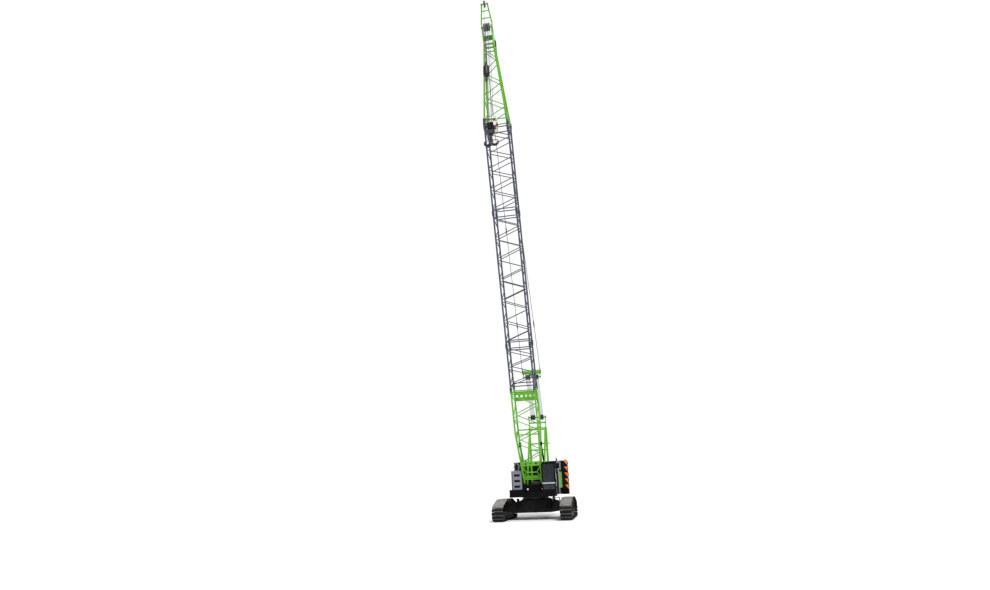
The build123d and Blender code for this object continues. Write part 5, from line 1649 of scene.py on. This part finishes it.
def swell(obj: bpy.types.Object, cap: float, pressure: float = 4.0, frames: int = 20) -> None:
    """Blows a piece up with a cloth simulation.

    Args:
        obj: the piece.
        cap: the farthest that a point may move.
        pressure: the cloth's inner pressure.
        frames: how long the cloth runs.
    """
    scene = bpy.context.scene
    count = 3 * len(obj.data.vertices)
    start, end = np.empty(count, np.float32), np.empty(count, np.float32)
    obj.data.vertices.foreach_get("co", start)
    cloth = obj.modifiers.new("stuffing", "CLOTH")
    cloth.settings.use_pressure = True
    cloth.settings.uniform_pressure_force = pressure
    cloth.settings.effector_weights.gravity = 0.0
    for step in range(1, frames + 1):
        scene.frame_set(step)
    done = obj.evaluated_get(bpy.context.evaluated_depsgraph_get())
    done.data.vertices.foreach_get("co", end)
    move = (end - start).reshape(-1, 3)
    far = np.linalg.norm(move, axis=1, keepdims=True)
    move *= np.minimum(1.0, cap / np.maximum(far, 1e-9))
    obj.modifiers.remove(cloth)
    scene.frame_set(1)
    obj.data.vertices.foreach_set("co", start + move.ravel())
    obj.data.update()
    LOG.info("%s swelled by up to %.1f mm", obj.name, 1000 * min(cap, float(far.max())))


@dataclass
class Cab:
    """Seat, window seals, wipers, mirror glass, rails and roof fittings of the cab."""

    low: Point = (0.74, -2.35, 1.7503)
    high: Point = (1.64, -0.7, 3.63)
    lean: float = 0.26
    wall: float = 0.05
    sill: float = 0.56

    def front_y(self, z: Array) -> Array:
        """Front face: it leans back above the sill and tucks in below it."""
        y, z0, z1 = self.low[1], self.low[2], self.high[2]
        return np.interp(z, [z0, z0 + self.sill, z1], [y + 0.06, y, y + self.lean])

    def seal(self, corners: Array, up: Vec) -> Surface:
        """Rubber seal: a small round section carried round a window's corner points."""
        nxt = np.roll(corners, -1, 0)
        share = np.linspace(0, 1, 8, endpoint=False)[None, :, None]
        path = (corners[:, None] * (1 - share) + nxt[:, None] * share).reshape(-1, 3)
        return carried(path, oval(1, 1, 8), 0.014, up, True)

    def windows(self) -> None:
        """Seals round the panes and two wipers on the windscreen."""
        (x0, y0, z0), (x1, y1, z1) = self.low, self.high
        seals = []
        for low, high in ((z0 + self.sill + 0.08, z1 - 0.11), (z0 + 0.19, z0 + self.sill - 0.11)):
            spots = [(x0 + 0.09, low), (x1 - 0.09, low), (x1 - 0.09, high), (x0 + 0.09, high)]
            ring = np.array([[x, float(self.front_y(z)) + 0.006, z] for x, z in spots])
            seals.append(self.seal(ring, (0, 1, 0)))
        ya, yb, za, zb = y0 + 0.33, y1 - 0.15, z0 + self.sill + 0.08, z1 - 0.13
        side = np.array([[x0 + 0.002, y, z] for y, z in ((ya, za), (yb, za), (yb, zb), (ya, zb))])
        seals.append(self.seal(side, (1, 0, 0)))
        put("cab_window_seals", seals, RUBBER, "upper")
        wipers = []
        for x in (x0 + 0.3, x0 + 0.62):
            z = np.array([z0 + 0.6, z0 + 1.25])
            arm = np.stack([np.array([x, x + 0.12]), self.front_y(z) - 0.012, z], -1)
            wipers.append(tubes(arm[:1], arm[1:], 0.008, 8))
            z = np.array([z0 + 0.85, z0 + 1.45])
            blade = np.stack([np.array([x + 0.11, x + 0.13]), self.front_y(z) - 0.004, z], -1)
            wipers.append(tubes(blade[:1], blade[1:], 0.009, 8))
        put("cab_wipers", wipers, RUBBER, "upper")
        section = [(0.03, 0.51), (0.03, 0.62), (-0.004, 0.615), (-0.012, 0.57), (0.002, 0.515)]
        sill = plates(section, [[x0 + 0.03, y0, z0]], (0, 1, 0), (0, 0, 1), x1 - x0 - 0.06)
        put("cab_sill", [sill], PALE, "upper", bevel=0.006)

    def seat(self) -> None:
        """Cushion, back rest and head rest: crowned superellipsoids with a sewn line round each."""
        mid = (self.low[0] + self.high[0]) / 2
        floor, y1 = self.low[2] + self.wall, self.high[1]
        y = y1 - 0.65
        cushion = pad((mid, y + 0.1, floor + 0.39), (0.238, 0.245, 0.062), 0.0)
        rest = pad((mid, y + 0.40, floor + 0.75), (0.215, 0.055, 0.31), 0.155)
        head = pad((mid, y + 0.458, floor + 1.14), (0.12, 0.042, 0.088), 0.155)
        soft = put("cab_seat_pads", [cushion, rest, head], CLOTH, "upper", ["cab_seat"], 60)
        swell(soft, 0.012)
        smooth = soft.modifiers.new("smooth", "SUBSURF")
        smooth.levels = smooth.render_levels = 1
        lows = [(mid - 0.15, y - 0.05, floor), (mid - 0.2, y - 0.08, floor + 0.28)]
        highs = [(mid + 0.15, y + 0.3, floor + 0.285), (mid + 0.2, y + 0.32, floor + 0.325)]
        put("cab_seat_base", [blocks(lows, highs)], TRIM, "upper", bevel=0.012)

    def outside(self) -> None:
        """Roof guard bars, two grab rails and the mirror's glass."""
        (x0, y0, z0), (x1, y1, z1) = self.low, self.high
        near, far = y0 + self.lean + 0.1, y0 + self.lean + 0.9
        bars = row((x0 + 0.12, near, z1 + 0.03), (x1 - 0.12, near, z1 + 0.03), 7)
        guard = [tubes(bars, bars + [0, 0.8, 0], 0.011, 8)]
        for y in (near, far):
            guard.append(tubes([[x0 + 0.08, y, z1 + 0.03]], [[x1 - 0.08, y, z1 + 0.03]], 0.014, 10))
        feet = np.array([[x, y, z1 - 0.002] for x in (x0 + 0.1, x1 - 0.1) for y in (near, far)])
        guard.append(tubes(feet, feet + [0, 0, 0.034], 0.014, 10))
        put("cab_roof_guard", guard, BLACK, "upper")
        low, high = ((x1 - 0.004, y0 + 0.2, z0 + rise) for rise in (0.35, 1.2))
        rails = [grip(low, high, (0.06, 0, 0), 0.014)]
        left, right = ((x, y1 - 0.12, z1 - 0.004) for x in (x0 + 0.18, x1 - 0.18))
        rails.append(grip(left, right, (0, 0, 0.07), 0.014))
        put("cab_grab_rails", rails, PALE, "upper")
        plate = rounded(0.15, 0.29, 0.03)
        face = plates(plate, [[x1 + 0.2, y0 + 0.2805, z1 - 0.225]], (1, 0, 0), (0, 0, 1), -0.004)
        put("mirror_glass_plate", [face], MIRROR, "upper")

    def build(self) -> None:
        """Makes the cab's fittings."""
        self.windows()
        self.seat()
        self.outside()


@dataclass
class UpperWorks:
    """House panels, handrails, lamps, winch ropes, counterweight fittings and gantry pins."""

    deck: float = 1.75
    half: float = 1.6
    rear: float = 3.25
    roof: float = 3.2
    weight_half: float = 2.03
    weight_top: float = 3.9
    weight_depth: float = 1.15
    foot_y: float = -1.15
    gantry_axis: Tuple[float, float] = (3.05, 7.2)
    gantry_half: float = 0.64

    def panels(self) -> None:
        """Raised door panels on the houses, their hinges, handles and louvre blades."""
        doors, fittings = [], []
        plate = rounded(0.72, 1.1, 0.05)
        for side in (-1, 1):
            ys = np.array([0.25]) if side > 0 else np.array([0.1, 0.9])
            places = coords(side * self.half, ys, 2.48)
            doors.append(plates(plate, places, (0, 1, 0), (0, 0, 1), 0.014 * side))
            grips = places + [side * 0.02, 0.28, 0.0]
            fittings.append(tubes(grips - [0, 0, 0.07], grips + [0, 0, 0.07], 0.012, 10))
            hinges = np.concatenate([places + [side * 0.012, -0.355, dz] for dz in (0.38, -0.38)])
            fittings.append(tubes(hinges - [0, 0, 0.06], hinges + [0, 0, 0.06], 0.016, 10))
        put("house_doors", doors, BLACK, "upper", bevel=0.004)
        put("house_door_fittings", fittings, PIN, "upper")
        z = self.deck + 0.53 + 0.13 * np.arange(6)
        lows = coords(-self.half - 0.012, self.rear - 1.52, z - 0.05)
        hood = [(0.0, -0.01), (0.03, -0.045), (0.034, -0.04), (0.004, 0.03), (0.0, 0.03)]
        blades = plates(hood, lows + [0.012, 0, 0.04], (-1, 0, 0), (0, 0, 1), 1.24)
        put("house_louvres", [blades], BLACK, "upper")

    def treads(self) -> None:
        """Black linings of the hood's step slots: back, sides, top and a ribbed tread in each."""
        x0, x1, y0, y1 = -1.25, -0.85, -1.558, -1.4
        tall, thick = 0.15, 0.006
        lows, highs = [], []
        for i in range(3):
            z = self.deck + 0.33 + 0.365 * i
            walls = (
                ((x0, y1 - thick, z), (x1, y1, z + tall)),
                ((x0, y0, z), (x0 + thick, y1, z + tall)),
                ((x1 - thick, y0, z), (x1, y1, z + tall)),
                ((x0, y0, z + tall - thick), (x1, y1, z + tall)),
                ((x0, y0, z), (x1, y1, z + 0.008)),
            )
            lows += [low for low, _ in walls]
            highs += [high for _, high in walls]
            ribs = row((x0 + 0.02, y0 + 0.015, z + 0.006), (x0 + 0.02, y1 - 0.03, z + 0.006), 5)
            lows += [tuple(r) for r in ribs]
            highs += [tuple(r + [0.36, 0.012, 0.008]) for r in ribs]
        put("hood_step_treads", [blocks(lows, highs)], RUBBER, "upper")

    def side_door(self) -> None:
        """Frame, latches and rivets of the green side panel."""
        x, y0, y1, z0, z1 = self.half + 0.0353, 0.74, 2.75, 1.97, 3.08
        edge = np.array([(0, 0, 1, 0), (0, 1, 1, 1), (0, 0, 0, 1), (1, 0, 1, 1)], float)
        wide, tall = y1 - y0 - 0.13, z1 - z0 - 0.13
        lows = coords(x, y0 + 0.05 + edge[:, 0] * wide, z0 + 0.05 + edge[:, 1] * tall)
        highs = coords(x + 0.008, y0 + 0.08 + edge[:, 2] * wide, z0 + 0.08 + edge[:, 3] * tall)
        put("side_panel_frame", [blocks(lows, highs)], GREEN, "upper", bevel=0.003)
        latches = np.array([[x - 0.002, y1 - 0.2, z] for z in (z0 + 0.3, z1 - 0.3)])
        cup = [(0.0, 0.045), (0.008, 0.045), (0.01, 0.038), (0.004, 0.034), (0.004, 0.004)]
        bars = blocks(latches - [0.0, 0.008, 0.03], latches + [0.014, 0.008, 0.03])
        put("side_panel_latches", [turned(cup, latches, (1, 0, 0), 24), bars], RUBBER, "upper")
        ys = np.linspace(y0 + 0.12, y1 - 0.12, 11)
        rivets = np.concatenate([coords(x + 0.007, ys, z) for z in (z0 + 0.065, z1 - 0.065)])
        dome = [(0.0, 0.011), (0.004, 0.01), (0.007, 0.006), (0.008, 0.001)]
        put("side_panel_rivets", [turned(dome, rivets, (1, 0, 0), 10)], PIN, "upper")

    def rails(self) -> None:
        """Handrail on the left roof: posts with a top and a middle rail."""
        feet = coords(self.half - 0.06, np.linspace(0.5, self.rear - 0.15, 5), self.roof - 0.003)
        bars = [tubes(feet, feet + [0, 0, 0.62], 0.017, 10)]
        for h in (0.32, 0.62):
            bars.append(tubes(feet[:1] + [0, 0, h], feet[-1:] + [0, 0, h], 0.017, 10))
        put("roof_handrails", bars, PALE, "upper")

    def lamps(self) -> None:
        """Work lamps, amber marker and red lamps, turned, with ribbed lenses."""
        bezels, clear = [], []
        case = [(0.095, 0.03), (0.09, 0.05), (0.02, 0.062), (0.0, 0.062)]
        lens = [(0.004, 0.056), (-0.004, 0.05), (-0.012, 0.02), (-0.013, 0.003)]
        for x, y in ((-0.35, -1.495), (0.67, -1.615)):
            z = self.deck + 0.21
            bezels.append(turned(case, [[x, y, z]], (0, 1, 0), 24))
            bezels.append(tubes([[x, y + 0.05, self.deck - 0.002]], [[x, y + 0.05, z - 0.04]], 0.02, 10))
            clear.append(turned(lens, [[x, y, z]], (0, 1, 0), 24))
        put("work_lamp_cases", bezels, BLACK, "upper", ["lamps"])
        put("work_lamp_lenses", clear, CLEAR_LENS, "upper")
        spot = [[-self.half - CLEAR, -1.56, 1.54 + CLEAR]]
        amber = plates(rounded(0.075, 0.075, 0.015), spot, (0, 1, 0), (0, 0, 1), -0.03)
        put("amber_marker", [amber], AMBER_LENS, "upper", bevel=0.004)
        dome = [(0.0, 0.045), (0.07, 0.043), (0.095, 0.03), (0.108, 0.006)]
        red = [turned(dome, [[self.weight_half - 0.12, self.rear + 0.16, self.weight_top]], (0, 0, 1), 24)]
        y, top = self.gantry_axis
        foot = np.array([[self.gantry_half + 0.07 + CLEAR, y, self.deck + 0.635 * (top - self.deck)]])
        bulb = [(0.1, 0.034), (0.16, 0.034), (0.18, 0.025), (0.189, 0.005)]
        red.append(turned(bulb, foot, (1, 0, 0), 20))
        put("red_lamps", red, RED_LENS, "upper")
        put("red_lamp_arm", [tubes(foot, foot + [0.1017, 0, 0], 0.024, 12)], GREEN, "upper")

    def winches(self) -> None:
        """Drums wound with rope: r = core + ridge*|sin(turns)| along the drum, between two flanges."""
        half, core = 0.33, 0.24
        t = np.linspace(-half + 0.036, half - 0.036, 150)
        wound = core + 0.05 + 0.012 * np.abs(np.sin((t + half) / 0.026 * math.pi))
        flange = core * 1.44
        head = np.array([(-half, 0.05), (-half, flange), (-half + 0.035, flange), (-half + 0.035, core)])
        tail = np.array([(half - 0.035, core), (half - 0.035, flange), (half, flange), (half, 0.05)])
        profile = np.concatenate([head, np.stack([t, wound], -1), tail])
        centres = np.array([[0, self.foot_y + 1.7 + 0.85 * i, self.deck + 0.4] for i in range(3)])
        drums = turned(profile, centres, (1, 0, 0), 40)
        put("winch_drums_wound", [drums], STEEL, "upper", ["winch_drums"])
        hubs = np.concatenate([centres + [s * 0.375, 0, 0] for s in (-1, 1)])
        cap = [(0, 0.1), (0.02, 0.098), (0.03, 0.06), (0.045, 0.01)]
        parts = [turned(cap, hubs[:3], (-1, 0, 0), 24), turned(cap, hubs[3:], (1, 0, 0), 24)]
        put("winch_bearing_caps", parts, BLACK, "upper")

    def weight(self) -> None:
        """Lifting lugs on top, tie bars down the rear, lifting bosses on the sides and rear reflectors."""
        y = self.rear + 0.06 + 0.3
        lug = np.concatenate([oval(0.12, 0.12, 24)[:13] + [0, 0.1], [[-0.12, 0.0], [0.12, 0.0]]])
        spots = np.array([[x, yy, self.weight_top - 0.002] for x in (-1.2, 1.2) for yy in (y, y + 0.5)])
        lugs = plates(lug, spots - [0.02, 0, 0], (0, 1, 0), (0, 0, 1), 0.04)
        put("counterweight_lugs", [lugs], BLACK, "upper", bevel=0.004)
        back = self.rear + 0.06 + self.weight_depth
        xs = np.array([-0.95, 0.95])
        foot = coords(xs - 0.07, back - 0.002, self.deck - 0.2)
        bars = blocks(foot, foot + [0.14, 0.022, self.weight_top - self.deck + 0.16])
        step = (self.weight_top - self.deck - 0.1) / 5
        level = self.deck + 0.1 + step * (np.arange(5) + 0.5)
        heads = coords(np.repeat(xs, 5), back + 0.02, np.tile(level, 2))
        put("counterweight_tie_bars", [bars], BLACK, "upper", bevel=0.005)
        put("counterweight_bolts", [bolt_heads(heads, (0, 1, 0), 0.034, 0.035)], PIN, "upper")
        cap = [(0.045, 0.06), (0.05, 0.054), (0.051, 0.01)]
        boss = [(0.0, 0.085), (0.012, 0.085), (0.014, 0.062), *cap]
        knobs = []
        for side in (-1, 1):
            spots = coords(side * (self.weight_half - 0.013), back - 0.62, level)
            knobs.append(turned(boss, spots, (side, 0, 0), 24))
        put("counterweight_bosses", knobs, BLACK, "upper")
        # The rear reflectors take the red lamp lens and its glow, so they shine though they are no lamps:
        # painted reflected light.
        spots = coords(np.array([-1.4, 1.4]), back, self.deck - 0.1)
        glow = plates(rounded(0.2, 0.08, 0.02), spots, (-1, 0, 0), (0, 0, 1), 0.012)
        put("rear_reflectors", [glow], RED_LENS, "upper", bevel=0.003)

    def roofs(self) -> None:
        """Hatches with handles on both roofs, an intake cap, and a ladder on the right house."""
        spots = coords([1.17, 1.17, -1.17, -1.17], [1.05, 2.15, 0.05, 1.1], self.roof)
        lids = plates(rounded(0.64, 0.9, 0.05), spots - [0, 0, 0.002], (1, 0, 0), (0, 1, 0), 0.016)
        put("roof_hatches", [lids], BLACK, "upper", bevel=0.005)
        low, high = spots + [-0.07, -0.36, 0.012], spots + [0.07, -0.36, 0.012]
        handles = [grip(a, b, (0, 0, 0.045), 0.009) for a, b in zip(low, high)]
        for p in spots:
            for dx in (-0.2, 0.2):
                hinge = p + [dx, 0.44, 0.016]
                handles.append(tubes([hinge - [0.05, 0, 0]], [hinge + [0.05, 0, 0]], 0.014, 12))
        put("roof_hatch_handles", handles, PIN, "upper")
        lid = [(0.121, 0.13), (0.16, 0.135), (0.19, 0.12), (0.2, 0.08), (0.202, 0.01)]
        cap = turned([(-0.002, 0.07), (0.12, 0.07), *lid], [[-1.25, 1.75, self.roof]], (0, 0, 1), 32)
        put("air_intake_cap", [cap], BLACK, "upper", bevel=0.002)
        x, ys = -self.half - 0.1, np.array([1.3, 1.62])
        low = coords(x, ys, self.deck + 0.08)
        ladder = [tubes(low, low + [0, 0, 1.75], 0.016, 12)]
        rung = coords(x, ys[0], self.deck + 0.2 + 0.27 * np.arange(6))
        ladder.append(tubes(rung, rung + [0, 0.32, 0], 0.013, 10))
        for dz in (0.12, 1.35):
            ladder.append(tubes(low + [0, 0, dz], low + [0.102, 0, dz], 0.013, 10))
        ladder += [grip(p + [0, 0, 1.74], p + [0.28, 0, 1.44], (0.1, 0, 0.32), 0.016) for p in low]
        put("house_ladder", ladder, PALE, "upper")

    def gantry(self) -> None:
        """Shaft with its end caps, and the gusset plates at the posts' feet."""
        y, z = self.gantry_axis
        pins = [tubes([[-0.72, y, z]], [[0.72, y, z]], 0.047, 20)]
        cap = [(0, 0.08), (0.02, 0.08), (0.03, 0.05), (0.032, 0.01)]
        for side in (1, -1):
            pins.append(turned(cap, [[side * 0.665, y, z]], (side, 0, 0), 20))
        put("gantry_shaft", pins, PIN, "upper")
        gusset = [(0.0, 0.0), (0.3, 0.0), (0.06, 0.34), (0.0, 0.34)]
        spots = coords(np.array([-1, 1]) * self.gantry_half - 0.012, 2.96, self.deck + CLEAR)
        plate = [plates(gusset, spots, (0, -1, 0), (0, 0, 1), -0.024)]
        put("gantry_foot_gussets", plate, GREEN, "upper")

    def build(self) -> None:
        """Makes the upper works' fittings."""
        self.panels()
        self.treads()
        self.side_door()
        self.rails()
        self.lamps()
        self.winches()
        self.weight()
        self.roofs()
        self.gantry()


@dataclass
class Studio:
    """Camera at the photograph's place, pale floor and soft light."""

    place: Point = (5.67, -42.15, 2.38)
    yaw: float = -10.81
    pitch: float = 18.25
    roll: float = -2.22
    focal_px: float = 573.1
    image: Tuple[int, int] = (990, 590)
    sensor: float = 36.0
    floor_half: float = 400.0

    def camera(self) -> None:
        """Camera turned by yaw and pitch, then rolled about its own axis."""
        yaw, pitch, roll = (math.radians(v) for v in (self.yaw, self.pitch, self.roll))
        level = math.cos(pitch)
        ahead = np.array([math.sin(yaw) * level, math.cos(yaw) * level, math.sin(pitch)])
        right = np.array([math.cos(yaw), -math.sin(yaw), 0.0])
        up = np.cross(right, ahead)
        c, s = math.cos(roll), math.sin(roll)
        right, up = c * right + s * up, c * up - s * right
        data = bpy.data.cameras.new("viewpoint")
        data.sensor_width = self.sensor
        data.lens = self.sensor * self.focal_px / self.image[0]
        data.clip_end = 500.0
        cam = show("viewpoint", data)
        turn = np.stack([right, up, -ahead], 1)
        matrix = Matrix(turn.tolist()).to_4x4()
        matrix.translation = self.place
        cam.matrix_world = matrix
        bpy.context.scene.camera = cam

    def sun(self, name: str, energy: float, spread: float, tilt: float, turn: float) -> None:
        """A sun with its spread, its tilt from straight down and its turn about Z in degrees."""
        data = bpy.data.lights.new(name, "SUN")
        data.energy = energy
        data.angle = math.radians(spread)
        show(name, data).rotation_euler = (math.radians(tilt), 0.0, math.radians(turn))

    def light(self) -> None:
        """Even pale surroundings, a broad key light, a soft fill and a pale floor."""
        world = bpy.data.worlds.new("pale_room")
        world.use_nodes = True
        kit = Nodes(world.node_tree)
        seen = kit.add("ShaderNodeLightPath").outputs["Is Camera Ray"]
        strength = kit.math("MULTIPLY_ADD", seen, 0.5, 0.53)
        kit.fill(world.node_tree.nodes["Background"], {0: (1.0, 1.0, 1.0, 1.0), 1: strength})
        bpy.context.scene.world = world
        self.sun("key", 3.2, 25, 48, 28)
        self.sun("fill", 0.9, 60, 55, -160)
        mesh = bpy.data.meshes.new("floor")
        ways = ((-1, -1), (1, -1), (1, 1), (-1, 1))
        corners = [(a * self.floor_half, b * self.floor_half, -0.002) for a, b in ways]
        mesh.from_pydata(corners, [], [(0, 1, 2, 3)])
        mesh.materials.append(PALE_FLOOR.material())
        floor = show("floor", mesh)
        bpy.context.scene.view_settings.view_transform = "Standard"

    def build(self) -> None:
        """Makes the camera, the light and the floor."""
        self.camera()
        self.light()


SLOT_FINISH: Dict[str, Finish] = {
    "green": GREEN,
    "insert": INSERT,
    "black": BLACK,
    "grey": GREY,
    "weight": WEIGHT,
    "glass": GLASS,
    "steel": STEEL,
    "shoe": SHOE,
    "sheave": SHEAVE,
    "rope": ROPE,
    "hook": FORGED,
    "stripe": STRIPE,
    "seat": TRIM,
    "lamp": CLEAR_LENS,
}
NODE_FINISH: Dict[str, Finish] = {"grab_post": PALE, "foot_pins": PIN, "head_shaft": PIN}
ROUNDED: Tuple[RoundedSolids, ...] = (
    RoundedSolids(("carbody", "track_frame_left", "track_frame_right"), BLACK, BLACK_EDGE, 0.008),
    RoundedSolids(("upper_frame",), BLACK, BLACK_EDGE, 0.008),
    RoundedSolids(("house_left", "house_right", "deck_box", "counterweight_base"), BLACK, BLACK_EDGE, 0.01),
    RoundedSolids(("cab_shell", "cab_door", "mirror"), BLACK, BLACK_EDGE, 0.004),
    RoundedSolids(("lashing_eyes", "winch_stands", "backstops"), BLACK, BLACK_EDGE, 0.004),
    RoundedSolids(("hood_front",), GREY, GREY_EDGE, 0.012),
    RoundedSolids(("grab_post",), PALE, None, 0.003),
    RoundedSolids(("counterweight_slabs",), WEIGHT, None, 0.014),
    RoundedSolids(("gantry_posts", "gantry_struts", "gantry_head"), GREEN, GREEN_EDGE, 0.006),
    RoundedSolids(("bridle", "side_panel"), GREEN, GREEN_EDGE, 0.006),
    RoundedSolids(("boom_base", "boom_tip", "runner"), GREEN, GREEN_EDGE, 0.004),
    RoundedSolids(("hook_block",), STRIPE, None, 0.006),
    RoundedSolids(("engine_block", "exhaust"), STEEL, None, 0.008),
    RoundedSolids(("cab_console",), TRIM, None, 0.006),
)


def dress_solids() -> None:
    """Gives every shown solid the finish of its slot, or its own."""
    slots = {part["node"]: part["material_slot"] for part in frame["record"]["subparts"]}
    for node, obj in frame["nodes"].items():
        finish = NODE_FINISH.get(node) or SLOT_FINISH[slots[node]]
        obj.data.materials.clear()
        obj.data.materials.append(finish.material())
    LOG.info("%d solids dressed", len(slots))


def main() -> None:
    """Builds the crane's looks in order."""
    logging.basicConfig(level=logging.INFO, format="%(name)s: %(message)s")
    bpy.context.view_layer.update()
    Studio().build()
    dress_solids()
    for solids in ROUNDED:
        solids.build()
    for side, name in ((1, "left"), (-1, "right")):
        Track(side, name).build()
    Carbody().build()
    UpperWorks().build()
    Cab().build()
    LatticeBoom().build()
    rig = Rigging()
    rig.build()
    MainHook(rig.head() - [0, 0, rig.main_drop]).build()
    BallHook(rig.runner_axis() - [0, rig.runner_r + rig.rope_r + CLEAR, rig.aux_drop + CLEAR]).build()
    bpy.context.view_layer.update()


if __name__ == "__main__":
    main()
